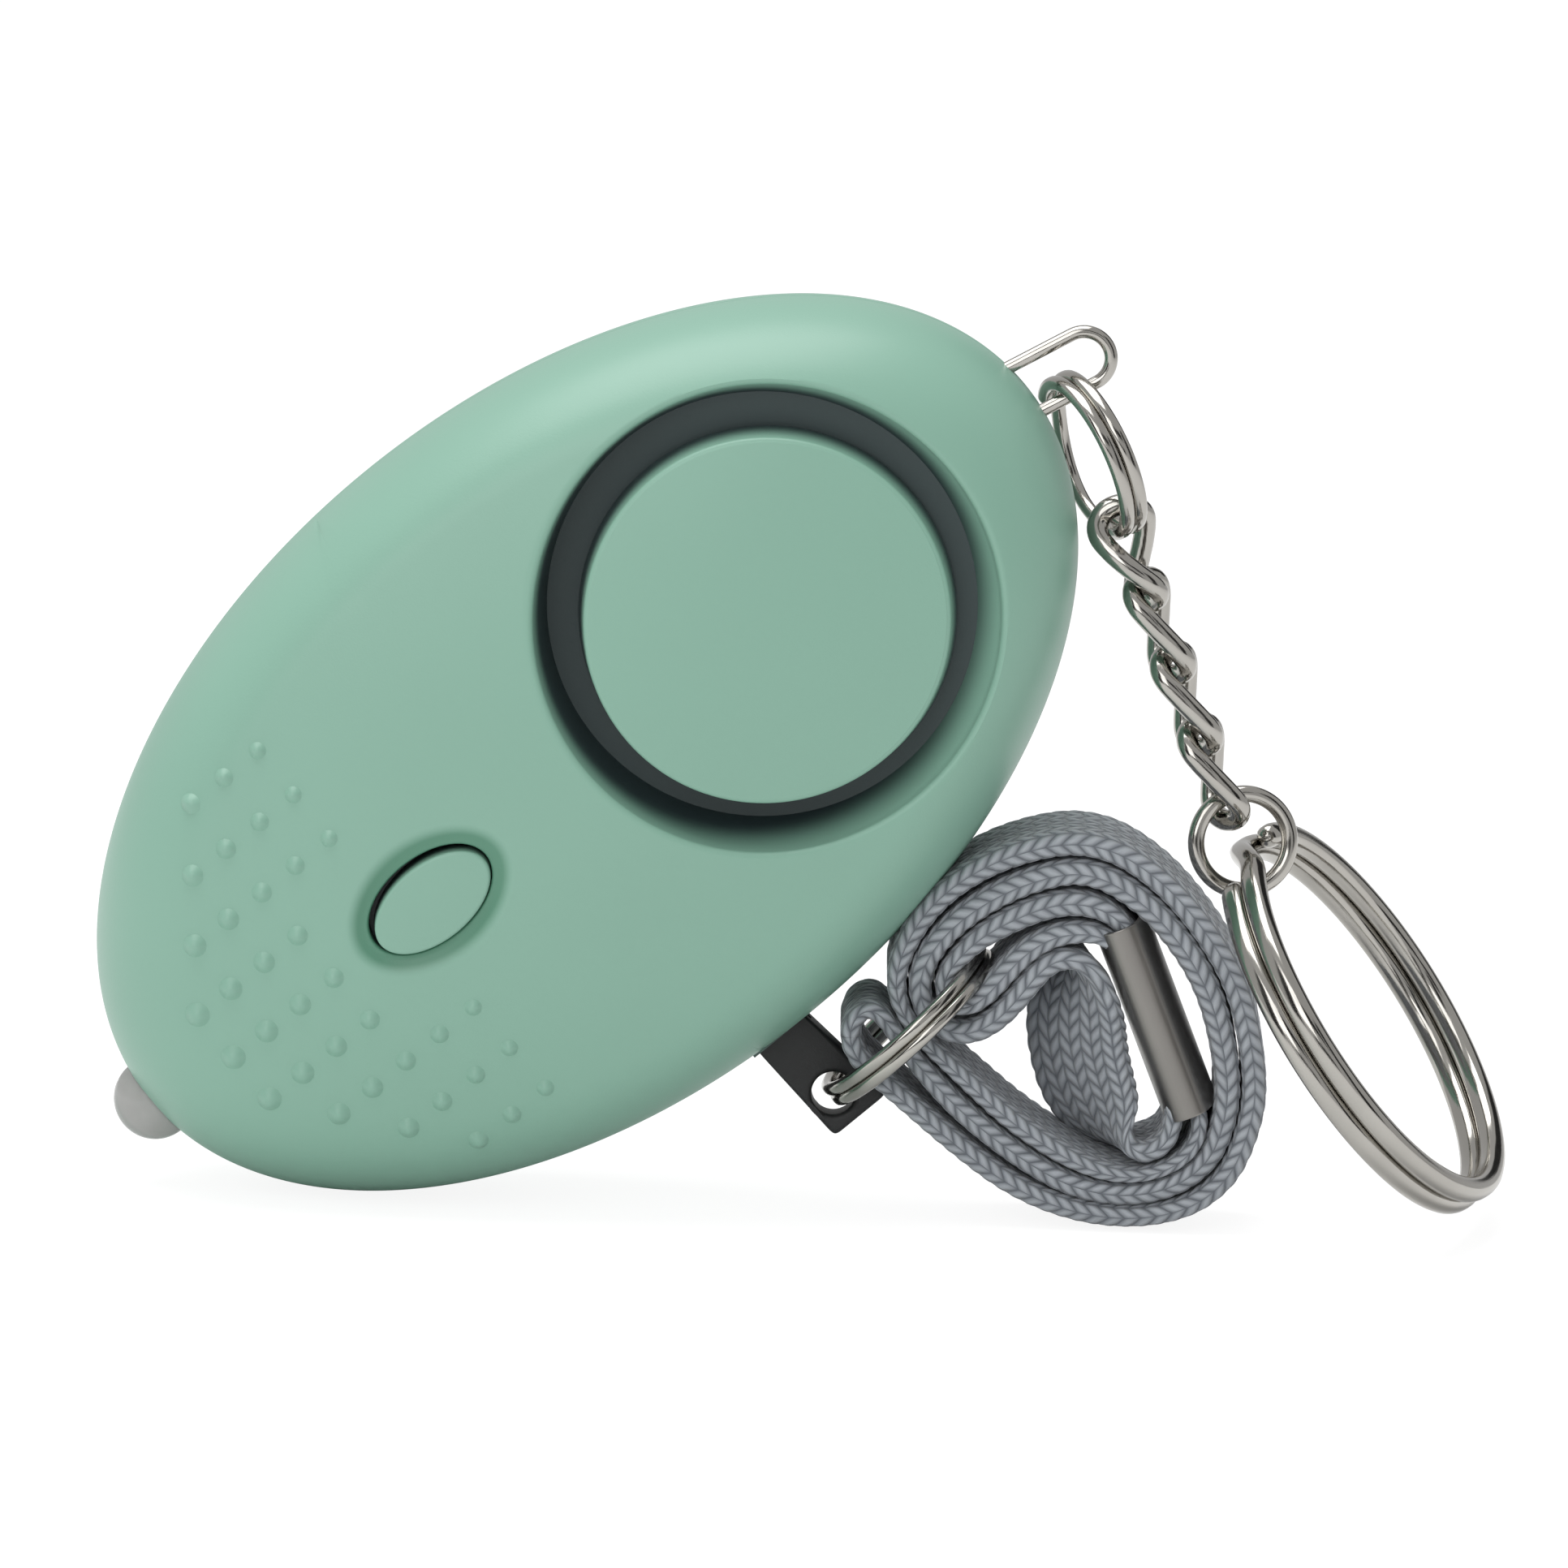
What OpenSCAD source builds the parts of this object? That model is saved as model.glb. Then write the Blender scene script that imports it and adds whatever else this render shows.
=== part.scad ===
// Personal safety alarm: a pebble-shaped case of two shells with a sounder in a round well, a torch LED with its
// push button, a pull pin on a coiled wrist strap, and a split key ring on a short twisted chain.
// Millimetres. The case stands on its long edge, leaning as photographed, with its face toward -Y and +Z up.
// Case measures are [along, across, out of the face] from the case centre, before it is stood up.

/* [Case] */
// Length of the case along its long axis
case_l = 68; // [66:0.5:72]
// Width of the case across its long axis
case_w = 42; // [41:0.5:45]
// Height of the front face above the joint line
front_h = 11; // [10.5:0.1:11.5]
// Depth of the flat back below the joint line
back_h = 10.2; // [10:0.1:10.6]
// Radius of the rounded shoulder at the ends
shoulder_r = 9; // [8.6:0.1:9.6]
// Wall thickness of both shells
wall = 1.6; // [1.4:0.05:1.7]
// Radius of the largest grip bump
bump_r = 0.95; // [0.8:0.05:1]

/* [Sounder] */
// Distance of the sounder from the case centre
sounder_x = 14.2; // [13.8:0.1:14.6]
// Radius of the sounder well
well_r = 13.85; // [13:0.05:14]
// Radius of the sounder cap
cap_r = 11.2; // [10:0.1:11.8]
// Slant of the cap's wall and of the well's wall, as a change of radius over their height
draft = 0.8; // [0.4:0.1:1]
// Radius of the piezo plate
piezo_r = 11.5; // [10.8:0.1:11.6]

/* [Button and lamp] */
// Distance of the torch button from the case centre
button_x = 11.75; // [11:0.05:12.2]
// Length of the torch button
button_l = 8.2; // [7:0.1:8.6]
// Width of the torch button
button_w = 4.75; // [4:0.05:5.2]
// Height of the button above the face
button_rise = 0.3; // [0.1:0.05:0.5]
// Travel of the button
press = 0.5; // [0.3:0.05:0.5]
// Radius of the lamp's lens
lamp_r = 2.5; // [2:0.1:2.6]

/* [Pull pin] */
// Distance of the pin from the case centre along the case
pin_x = 1.8; // [1.4:0.1:2.2]
// Width of the pin's tab
tab_w = 4.5; // [4.2:0.1:5]
// Length of the tab outside the case
tab_l = 7.3; // [7:0.1:7.6]
// Thickness of the tab
tab_t = 2.2; // [1.8:0.1:2.4]
// Width of the blade between the contacts
blade_w = 3; // [2.4:0.1:3.4]
// Thickness of the blade
blade_t = 1; // [0.6:0.1:1]
// Radius of the tab's eye
eye_r = 1.3; // [1.25:0.05:1.35]

/* [Rings and chain] */
// Outer radius of the split key ring
key_ring_r = 13; // [12:0.1:13.2]
// Wire radius of the key ring
key_wire_r = 0.72; // [0.6:0.02:0.75]
// Wire radius of the chain links
link_wire_r = 0.65; // [0.5:0.05:0.65]
// Outer length of a chain link
link_l = 7.5; // [7.3:0.1:8]
// Outer width of a chain link
link_w = 4.7; // [4.6:0.1:5]
// Outer radius of the jump ring on the bail
jump_r = 5.3; // [5:0.1:5.4]
// Wire radius of the jump ring
jump_wire_r = 0.43; // [0.35:0.01:0.45]
// Wire radius of the bail
bail_wire_r = 0.4; // [0.3:0.05:0.4]
// Wire radius of the pin's split ring
pin_wire_r = 0.4; // [0.3:0.02:0.4]

/* [Strap] */
// Width of the wrist strap
strap_w = 8.2; // [7:0.1:8.3]
// Thickness of the wrist strap
strap_t = 1.3; // [1.1:0.05:1.3]

/* [Fits] */
// Gap between parts that are seated on one another
seat = 0.05; // [0.03:0.01:0.08]
// Gap round parts that move
run = 0.3; // [0.2:0.02:0.36]

/* [Hidden] */
$fn = 48;

// The lean of the long axis above the table, and where the case centre stands over the part's origin.
lean = 42;
middle_x = 13.65;
lift = norm([case_l / 2 * sin(lean), case_w / 2 * cos(lean)]);

// The pebble's profile: a shoulder arc round core_r that runs into a wide dome, centred far below the face.
core_r = case_l / 2 - shoulder_r;
rise = front_h - shoulder_r;
dome_z = (rise * rise - core_r * core_r) / (2 * rise);
dome_r = front_h - dome_z;
turn = atan2(-dome_z, core_r);
facets = 72;

// Levels inside the case, measured out from the joint line.
horn_top = 5.9;
horn_t = 1.2;
horn_r = well_r + 0.75;
plate_z = 3;
plate_t = 0.25;
board_z = 3.4;
board_t = 1;
board_top = board_z + board_t;
cell_r = 5.8;
cell_h = 5.4;
cell_x = 12;
cell_z = cell_r + 2 * seat - face_z(cell_x, 1.5 * cell_h, wall);
switch_h = 2;
button_top = face_z(-button_x, 0, 0) + button_rise;
flange = 1;
flange_t = 1.05;
button_under = face_z(-button_x - button_l / 2 - flange, 0, wall) - run;
cap_z = 7.4;
// The lamp's base inside the case, and the place where its leads turn up to the board.
lamp_base = case_l / 2 - 4.5;
lead_x = 24;

// Screws: two clamp the board near the lamp, two sit beside the sounder.
screw_spots = [[-18.5, 11.3], [-18.5, -11.3], [8, 16.3], [8, -16.3]];
screw_seat = -5.4;
screw_tip = 6.6;
screw_r = 1;
head_r = 2;

// The bail's frame: its two legs leave the end of the case a little askew.
bail_foot = [case_l / 2 - 0.3, -0.25, 0];
bail_skew = -12;
bail_half = 1.61;
bail_reach = 4.1;
bail_in = -3;

// The pin's eye, and the split ring through it.
pin_out = case_w / 2 - 0.5;
eye = [-pin_x - 0.4, -pin_out - tab_l + 2.1, 0];
pin_ring_r = 6.15;
pin_ring_turn = 3;

// Directions in the standing frame: the jump ring, the chain, the end link and the key ring.
jump_dir = [cos(65.4), 0, -sin(65.4)];
jump_side = [sin(65.4) * cos(70), -sin(70), cos(65.4) * cos(70)];
chain_dir = [cos(67.5), 0, -sin(67.5)];
chain_side = [sin(67.5), 0, cos(67.5)];
end_dir = [cos(63), 0, -sin(63)];
end_side = [sin(63) * cos(15), sin(15), cos(63) * cos(15)];
ring_dir = [cos(53), 0, -sin(53)];
ring_side = [sin(53) * cos(77), sin(77), cos(53) * cos(77)];

// The chain hangs from the lower bail leg: each centre follows from the one before.
play = 0.25;
hang = stand(bail_point(2.2, -bail_half));
jump_mean = jump_r - jump_wire_r;
jump_at = hang + jump_dir * (jump_mean - jump_wire_r - bail_wire_r - play);
link_a = link_l / 2 - link_wire_r;
link_b = link_w / 2 - link_wire_r;
link_step = 2 * link_a - 2 * link_wire_r - 0.2;
first_play = 0.45;
first_link = jump_at + jump_dir * jump_mean + chain_dir * (link_a - jump_wire_r - link_wire_r - first_play);
end_r = 2.9;
end_wire_r = 0.5;
hook_in = 0.7;
last_tip = link_at(3) + chain_dir * link_a;
end_at = last_tip - chain_dir * (link_wire_r + end_wire_r + play) + end_dir * end_r;
key_mean = key_ring_r - key_wire_r;
key_at = end_at + end_dir * hook_in + ring_dir * key_mean;

// The strap's route, in the standing plane from the pin's eye: [right, up], in the order the ribbon runs.
strap_pitch = 1.85;
strap_squeezed = 1;
route_tail = [[12, 11.7], [12.7, 12.2], [13.6, 12.5], [14.7, 12.5], [16, 12.1], [17.2, 11.1]];
route_clamp = [[17.9, 9.9], [19.45, 5.35], [21, 0.8]];
route_turn = [[21.2, -0.5], [20.5, -1.4], [19.2, -1.8], [17.7, -1.5]];
route_band = [[16.4, -0.2], [15.3, 2], [14.5, 4.5], [14.3, 6]];
route_top = [[14.3, 7.2], [13.9, 8.1], [13, 8.4], [12.3, 7.7]];
band_twist = [10, 22, 18, 6];
// The two plies that run side by side, as their common centre line from the clamp's side to the folded end.
route_pair = [[10.5, 5.9], [9.1, 5], [7.4, 4.8], [5.8, 5.6], [4.9, 7.1], [5.3, 8.9], [6.8, 10.8], [9, 12.8],
    [11.2, 14.5], [13.2, 15.4], [15, 15.4], [17.2, 14.7], [19.4, 13.3], [21.2, 11.5], [22.6, 9.4], [23.8, 6.9],
    [24.5, 4.2], [24.6, 1.3], [24, -1.2], [22.6, -3.2], [20.6, -4.6], [18.7, -5.2], [16.4, -5.1], [13.8, -4.4],
    [11.2, -3.1], [8.6, -1.4], [6.6, 0], [5.1, 1.4], [4.1, 2.6]];
route_fold = [2.6, 4.2];
fold_r = 1.5;
route_back = [[10.3, 8], [11.1, 9.2], [12.9, 10.2], [14.9, 10.4]];
route_end = [[16.45, 9.3], [18.1, 4.7], [19.3, 1.3]];
clamp_mid = [18.75, 5.05];
clamp_tilt = atan2(9.1, -3.1) - 90;
clamp_l = 12.2;
clamp_wall = 0.35;

// Height of the pebble's face, or of the same pebble inset all round, over a point of the case.
function face_z(x, y, inset) =
    let (r = norm([x, y * (case_l / 2 - inset) / (case_w / 2 - inset)]))
    r < (dome_r - inset) * cos(turn)
        ? dome_z + sqrt(pow(dome_r - inset, 2) - r * r)
        : sqrt(pow(shoulder_r - inset, 2) - pow(r - core_r, 2));

// A point of the case in the standing frame.
function stand(p) = [
    p.x * cos(lean) - p.y * sin(lean) - middle_x,
    -p.z,
    p.x * sin(lean) + p.y * cos(lean) + lift
];

// A point of the bail's own plane, as a point of the case.
function bail_point(x, y) = bail_foot + [
    x * cos(bail_skew) - y * sin(bail_skew),
    x * sin(bail_skew) + y * cos(bail_skew),
    0
];

// Centre of chain link k, from 0 at the jump ring.
function link_at(k) = first_link + chain_dir * link_step * k;

// Turn of link k out of the picture at a place along it: an eighth at its upper end, or none where the first link
// meets the jump ring, and three eighths at its lower end.
function link_turn(k, x) =
    let (upper = k == 0 ? 0 : 45)
    upper + (135 - upper) * (1 + x / link_a) / 2;

// The pebble's half profile as [radius, height], from the joint line to the dome's top.
function profile(inset) = concat(
    [for (k = [0:8]) [core_r, 0] + (shoulder_r - inset) * [cos(turn * k / 8), sin(turn * k / 8)]],
    [for (k = [1:3])
        let (a = turn + (89 - turn) * k / 3)
        [0, dome_z] + (dome_r - inset) * [cos(a), sin(a)]]
);

// The ribbon's centre line before smoothing, as [right, up, thickness, twist].
function plies(side) = [for (k = [0:len(route_pair) - 1])
    let (
        a = route_pair[max(k - 1, 0)],
        b = route_pair[min(k + 1, len(route_pair) - 1)],
        t = (b - a) / norm(b - a)
    )
    route_pair[k] + side * strap_pitch / 2 * [-t.y, t.x]];
function ply(points, thick) = [for (p = points) [p.x, p.y, thick, 0]];
function backward(points) = [for (k = [len(points) - 1:-1:0]) points[k]];
fold_dir = route_fold - route_pair[len(route_pair) - 1];
fold_angle = atan2(fold_dir.y, fold_dir.x);
fold_points = [for (s = [100, 50, 0, -50, -100]) route_fold + fold_r * [cos(fold_angle + s), sin(fold_angle + s)]];
ribbon = concat(
    ply(route_tail, strap_t),
    ply(route_clamp, strap_squeezed),
    ply(route_turn, strap_t),
    [for (k = [0:3]) [route_band[k].x, route_band[k].y, strap_t, band_twist[k]]],
    ply(route_top, strap_t),
    ply(plies(1), strap_t),
    ply(fold_points, strap_t),
    ply(backward(plies(-1)), strap_t),
    ply(route_back, strap_t),
    ply(route_end, strap_squeezed)
);

// A smooth curve drawn by each four neighbouring points in turn.
function blend(a, b, c, d, u) =
    (pow(1 - u, 3) * a + (3 * pow(u, 3) - 6 * u * u + 4) * b + (1 + 3 * u + 3 * u * u - 3 * pow(u, 3)) * c
        + pow(u, 3) * d) / 6;
ribbon_n = len(ribbon);
ribbon_ends = concat([2 * ribbon[0] - ribbon[1]], ribbon, [2 * ribbon[ribbon_n - 1] - ribbon[ribbon_n - 2]]);
curve = concat(
    [for (k = [0:ribbon_n - 2], u = [0, 1 / 3, 2 / 3])
        blend(ribbon_ends[k], ribbon_ends[k + 1], ribbon_ends[k + 2], ribbon_ends[k + 3], u)],
    [ribbon[ribbon_n - 1]]
);
curve_n = len(curve);

// Normal of the curve at section k, in the standing plane.
function curve_normal(k) =
    let (
        a = curve[max(k - 1, 0)],
        b = curve[min(k + 1, curve_n - 1)],
        t = [b.x - a.x, b.y - a.y] / norm([b.x - a.x, b.y - a.y])
    )
    [-t.y, t.x];

// Point of the ribbon at section k: u runs across its width, v through its thickness, each from -0.5 to 0.5.
function ribbon_point(k, u, v) =
    let (
        p = curve[k],
        n = curve_normal(k),
        wide = u * strap_w,
        thick = v * p[2],
        in_plane = wide * sin(p[3]) + thick * cos(p[3]),
        depth = wide * cos(p[3]) - thick * sin(p[3]),
        from = stand(eye)
    )
    [from.x + p.x + n.x * in_plane, depth, from.z + p.y + n.y * in_plane];

// Length of the strap along its centre, and the least gap between plies that are not neighbours along it.
strap_length = [for (k = 0, s = 0; k < curve_n; k = k + 1, s = s + (k < curve_n ? step_to(k) : 0)) s];
function step_to(k) = norm([curve[k].x - curve[k - 1].x, curve[k].y - curve[k - 1].y]);
function flank(k, side) = [curve[k].x, curve[k].y] + side * curve[k][2] / 2 * curve_normal(k);
strap_gap = min([for (i = [0:3:curve_n - 1], j = [i + 3:1:curve_n - 1], a = [-1, 1], b = [-1, 1])
    if (strap_length[j] - strap_length[i] > 5 && norm(flank(i, a) - flank(j, b)) < 3)
        norm(flank(i, a) - flank(j, b))]);
echo(strap_length = strap_length[curve_n - 1], strap_gap = strap_gap, curve_n = curve_n);

// Stands a piece of the case up in the photographed pose.
module standing() {
    translate([-middle_x, 0, lift])
    rotate([0, -lean, 0])
    rotate([90, 0, 0])
    children();
}

// Sets a piece drawn in the XY plane into the standing frame, with its X along one direction and Y along another.
module facing(at, along, side) {
    up = cross(along, side);
    multmatrix([
        [along.x, side.x, up.x, at.x],
        [along.y, side.y, up.y, at.y],
        [along.z, side.z, up.z, at.z],
        [0, 0, 0, 1]
    ])
    children();
}

// Half of the pebble, inset all round, from the joint line up; a skirt carries it on below for cutting.
module pebble(inset, skirt = 0) {
    across = (case_w / 2 - inset) / (case_l / 2 - inset);
    levels = concat(skirt > 0 ? [[case_l / 2 - inset, -skirt]] : [], profile(inset));
    count = len(levels);
    points = [for (p = levels, j = [0:facets - 1])
        [p.x * cos(360 * j / facets), p.x * across * sin(360 * j / facets), p.y]];
    sides = [for (i = [0:count - 2], j = [0:facets - 1])
        [i * facets + j, (i + 1) * facets + j, (i + 1) * facets + (j + 1) % facets, i * facets + (j + 1) % facets]];
    bottom = [for (j = [0:facets - 1]) j];
    top = [for (j = [facets - 1:-1:0]) (count - 1) * facets + j];
    polyhedron(points = points, faces = concat([bottom], sides, [top]));
}

// A closed round wire through a ring of points, each with the direction of its plane's normal.
module wire_loop(points, normals, wire_r) {
    n = len(points);
    sides = 8;
    skin = [for (k = [0:n - 1])
        let (
            t = points[(k + 1) % n] - points[(k + n - 1) % n],
            a = cross(t, normals[k]) / norm(cross(t, normals[k])),
            b = cross(a, t) / norm(cross(a, t))
        )
        each [for (j = [0:sides - 1])
            points[k] + wire_r * (cos(360 * j / sides) * a + sin(360 * j / sides) * b)]];
    faces = [for (k = [0:n - 1], j = [0:sides - 1])
        let (
            p = k * sides + j,
            q = k * sides + (j + 1) % sides,
            r = ((k + 1) % n) * sides + (j + 1) % sides,
            s = ((k + 1) % n) * sides + j
        )
        each [[p, q, r], [p, r, s]]];
    polyhedron(points = skin, faces = faces);
}

// A split ring: two turns of round wire side by side, each with its own cut end.
module split_ring(mean_r, wire_r) {
    difference() {
        for (s = [-1, 1])
            translate([0, 0, 0.97 * wire_r * s])
            rotate_extrude($fn = 72)
            translate([mean_r, 0])
            circle(wire_r, $fn = 24);
        rotate(205)
        translate([mean_r - 2 * wire_r, 0, wire_r * 0.5])
        cube([4 * wire_r, 0.25, 2 * wire_r]);
        rotate(235)
        translate([mean_r - 2 * wire_r, 0, -wire_r * 2.5])
        cube([4 * wire_r, 0.25, 2 * wire_r]);
    }
}

// A solid with an elliptical outline, longest along X.
module oval(l, w, h) {
    linear_extrude(h)
    polygon([for (k = [0:47]) [l / 2 * cos(7.5 * k), w / 2 * sin(7.5 * k)]]);
}

// A round rod between two points of one of the case's axes: 0 along, 1 across, 2 out.
module rod(from, axis, l, r) {
    translate(from)
    rotate(axis == 0 ? [0, 90, 0] : axis == 1 ? [-90, 0, 0] : [0, 0, 0])
    cylinder(r = r, h = l, $fn = 20);
}

// The bail's holes through the end wall, shared by both shells.
module bail_holes() {
    translate(bail_foot)
    rotate(bail_skew)
    for (s = [-1, 1])
        rod([-2, s * bail_half, 0], 0, 4, bail_wire_r + seat);
}

// The lamp's bore and the pocket of its flange, shared by both shells.
module lamp_bore() {
    rod([-case_l / 2 - 4, 0, 0], 0, 9, lamp_r + seat);
    rod([-lamp_base - seat, 0, 0], 0, 1 + 2 * seat, lamp_r + 0.4 + seat);
    rod([-lamp_base + 0.3, 0, 0], 0, 4, lamp_r + seat);
}

// The slot for the pull pin, shared by both shells.
module pin_slot() {
    translate([-pin_x - tab_w / 2 - run, -pin_out - 4, -tab_t / 2 - run])
    cube([tab_w + 2 * run, 8, tab_t + 2 * run]);
}

// Collar round the lamp, cut at the joint line by each shell.
module lamp_collar() {
    intersection() {
        rod([-case_l / 2, 0, 0], 0, case_l / 2 - lamp_base + 1.3, lamp_r + 1.6);
        translate([-case_l, -10, 0]) cube([case_l, 20, 20]);
    }
}

// Grip bumps at the lamp's end, in nine rows that leave the corner free.
module grip() {
    rows = [[0, 2], [0, 3], [0, 4], [2, 5], [2, 5], [2, 5], [0, 4], [0, 3], [0, 2]];
    for (j = [0:8], i = [rows[j][0]:rows[j][1]]) {
        x = -14 - 2.62 * i;
        y = 3.31 * (4 - j);
        r = bump_r * (0.7 + 0.06 * i);
        translate([x, y, face_z(x, y, 0.5 * r)]) sphere(r = r, $fn = 20);
    }
}

// Front half of the case, with the sounder well, button hole, grip bumps and screw bosses.
module front_shell() {
    color("mediumaquamarine")
    standing()
    difference() {
        union() {
            difference() {
                union() {
                    pebble(0);
                    grip();
                }
                pebble(wall, 1);
            }
            intersection() {
                pebble(wall / 2);
                union() {
                    translate([sounder_x, 0, horn_top + seat]) cylinder(r = well_r + 1, h = 9, $fn = 72);
                    for (k = [0, 1])
                        translate([screw_spots[k].x, screw_spots[k].y, board_top + seat]) cylinder(r = 2.3, h = 9);
                    for (k = [2, 3])
                        translate([screw_spots[k].x, screw_spots[k].y, seat]) cylinder(r = 2.3, h = 9);
                    lamp_collar();
                }
            }
        }
        translate([sounder_x, 0, horn_top - 1])
        cylinder(r1 = well_r - draft, r2 = well_r + draft, h = 2 * (front_h - horn_top), $fn = 72);
        translate([-button_x, 0, 5]) oval(button_l + 2 * run, button_w + 2 * run, 9);
        for (p = screw_spots)
            translate([p.x, p.y, -1]) cylinder(r = screw_r + seat, h = screw_tip + 1.2);
        lamp_bore();
        bail_holes();
        pin_slot();
    }
}

// Rear half of the case, with the flat back, cell cradle and countersunk screw posts.
module rear_shell() {
    color("mediumaquamarine")
    standing()
    mirror([0, 0, 1])
    difference() {
        union() {
            difference() {
                intersection() {
                    pebble(0);
                    translate([-case_l, -case_w, 0]) cube([2 * case_l, 2 * case_w, back_h]);
                }
                intersection() {
                    pebble(wall, 1);
                    translate([-case_l, -case_w, -2]) cube([2 * case_l, 2 * case_w, back_h - wall + 2]);
                }
            }
            intersection() {
                union() {
                    pebble(wall / 2);
                    translate([-case_l, -case_w, -9]) cube([2 * case_l, 2 * case_w, 9]);
                }
                translate([-case_l, -case_w, -9]) cube([2 * case_l, 2 * case_w, 8 + back_h]);
                union() {
                    for (k = [0, 1])
                        translate([screw_spots[k].x, screw_spots[k].y, seat - board_z]) cylinder(r = 2.8, h = 14);
                    for (k = [2, 3])
                        translate([screw_spots[k].x, screw_spots[k].y, seat]) cylinder(r = 2.8, h = 14);
                    for (s = [-1, 1])
                        translate([-17, s > 0 ? 8.5 : -9.7, -1]) cube([10, 1.2, 14]);
                    lamp_collar();
                }
            }
        }
        for (p = screw_spots) {
            translate([p.x, p.y, -5]) cylinder(r = screw_r + seat, h = 20);
            translate([p.x, p.y, -screw_seat - seat]) cylinder(r = head_r + seat, h = 9);
        }
        lamp_bore();
        bail_holes();
        pin_slot();
    }
}

// Dark floor of the sounder well, with sound holes and the skirt that holds the piezo plate.
module horn_ring() {
    color("darkslategray")
    standing()
    intersection() {
        pebble(wall + 2 * seat);
        translate([sounder_x, 0, 0])
        difference() {
            union() {
                translate([0, 0, horn_top - horn_t]) cylinder(r = horn_r, h = horn_t, $fn = 72);
                translate([0, 0, plate_z + plate_t + seat])
                cylinder(r = piezo_r + 0.2, h = horn_top - plate_z - plate_t - horn_t, $fn = 72);
            }
            translate([0, 0, -1]) cylinder(r = piezo_r - 0.9, h = horn_top - horn_t + 1, $fn = 72);
            cylinder(r = 2 + seat, h = 9);
            for (k = [0:5])
                rotate(60 * k + 30) translate([7, 0, 0]) cylinder(r = 1.3, h = 9);
        }
    }
}

// Disc of the sounder, flush with the face, on a stem that plugs into the horn floor.
module sounder_cap() {
    color("mediumaquamarine")
    standing()
    union() {
        intersection() {
            pebble(0.1);
            translate([sounder_x, 0, cap_z])
            cylinder(r1 = cap_r, r2 = cap_r - draft, h = front_h - cap_z, $fn = 72);
        }
        translate([sounder_x, 0, horn_top + seat]) cylinder(r = 3, h = 2);
        translate([sounder_x, 0, horn_top - horn_t]) cylinder(r = 2, h = 2);
    }
}

// Brass plate of the piezo sounder.
module piezo_plate() {
    color("goldenrod")
    standing()
    translate([sounder_x, 0, plate_z]) cylinder(r = piezo_r, h = plate_t, $fn = 72);
}

// Ceramic disc bonded under the brass plate.
module piezo_ceramic() {
    color("whitesmoke")
    standing()
    translate([sounder_x, 0, plate_z - plate_t - 0.02]) cylinder(r = 8, h = plate_t, $fn = 72);
}

// Oval torch button with the flange that keeps it in the case.
module light_button() {
    color("mediumaquamarine")
    standing()
    translate([-button_x, 0, button_under - flange_t]) {
        oval(button_l + 2 * flange, button_w + 2 * flange, flange_t);
        oval(button_l, button_w, button_top - button_under + flange_t);
    }
}

// Tactile switch on the board under the button.
module switch_body() {
    color("dimgray")
    standing()
    difference() {
        translate([-button_x - 3, -3, board_top + seat]) cube([6, 6, switch_h]);
        translate([-button_x, 0, board_top + 0.6]) cylinder(r = 1.5 + run, h = 4);
    }
}

// Plunger of the switch, which rides with the button.
module switch_plunger() {
    color("black")
    standing()
    translate([-button_x, 0, board_top + 0.6 + run + press])
    cylinder(r = 1.5, h = button_under - flange_t - seat - board_top - 0.6 - run - press);
}

// Torch lamp: a clear domed LED with its base flange.
module lamp() {
    color("white")
    standing() {
        rod([-case_l / 2 + 0.2, 0, 0], 0, case_l / 2 - lamp_base + 0.8, lamp_r);
        translate([-case_l / 2 + 0.2, 0, 0]) sphere(r = lamp_r, $fn = 40);
        rod([-lamp_base, 0, 0], 0, 1, lamp_r + 0.4);
    }
}

// The lamp's two leads, bent up to the board.
module lamp_leads() {
    color("silver")
    standing()
    for (s = [-1, 1]) {
        rod([1 + seat - lamp_base, 1.27 * s, 0], 0, lamp_base - 1 - seat - lead_x, 0.25);
        translate([-lead_x, 1.27 * s, 0]) sphere(r = 0.25, $fn = 20);
        rod([-lead_x, 1.27 * s, 0], 2, board_z - seat, 0.25);
    }
}

// Circuit board, clamped by the two screws at the lamp's end.
module circuit_board() {
    color("darkgreen")
    standing()
    difference() {
        translate([0, 0, board_z])
        linear_extrude(board_t)
        polygon([[-25, -10], [-19, -14.2], [-1.5, -14.5], [-1.5, 14.5], [-19, 14.2], [-25, 10]]);
        for (k = [0, 1])
            translate([screw_spots[k].x, screw_spots[k].y, 0]) cylinder(r = screw_r + seat, h = 9);
    }
}

// Drum inductor that drives the sounder.
module inductor() {
    color("dimgray")
    standing()
    translate([-20.4, 0, board_top + seat]) {
        cylinder(r = 2.7, h = 0.6);
        cylinder(r = 2.2, h = 2.8);
        translate([0, 0, 2.2]) cylinder(r = 2.7, h = 0.6);
    }
}

// Driver chip on the board.
module driver_chip() {
    color("black")
    standing()
    translate([-11, 8, board_top + seat]) cube([5, 4, 1.2]);
}

// Capacitor on the board.
module capacitor() {
    color("steelblue")
    standing()
    translate([-9, -9.5, board_top + seat]) cylinder(r = 1.6, h = 2.6);
}

// Three button cells, stacked across the case.
module battery_cells() {
    color("silver")
    standing()
    for (k = [-1, 0, 1])
        translate([-cell_x, k * cell_h + cell_h / 2 - seat / 2, cell_z])
        rotate([90, 0, 0])
        cylinder(r = cell_r, h = cell_h - seat, $fn = 60);
}

// Spring plates at both ends of the cells, with tabs up to the board.
module battery_contacts() {
    color("silver")
    standing()
    for (s = [-1, 1]) {
        y = s > 0 ? 1.5 * cell_h + seat : -1.5 * cell_h - seat - 0.3;
        translate([-15, y, cell_z - 4]) cube([6, 0.3, 8]);
        translate([-13, y, cell_z]) cube([2, 0.3, board_z - cell_z - seat]);
    }
}

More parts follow.
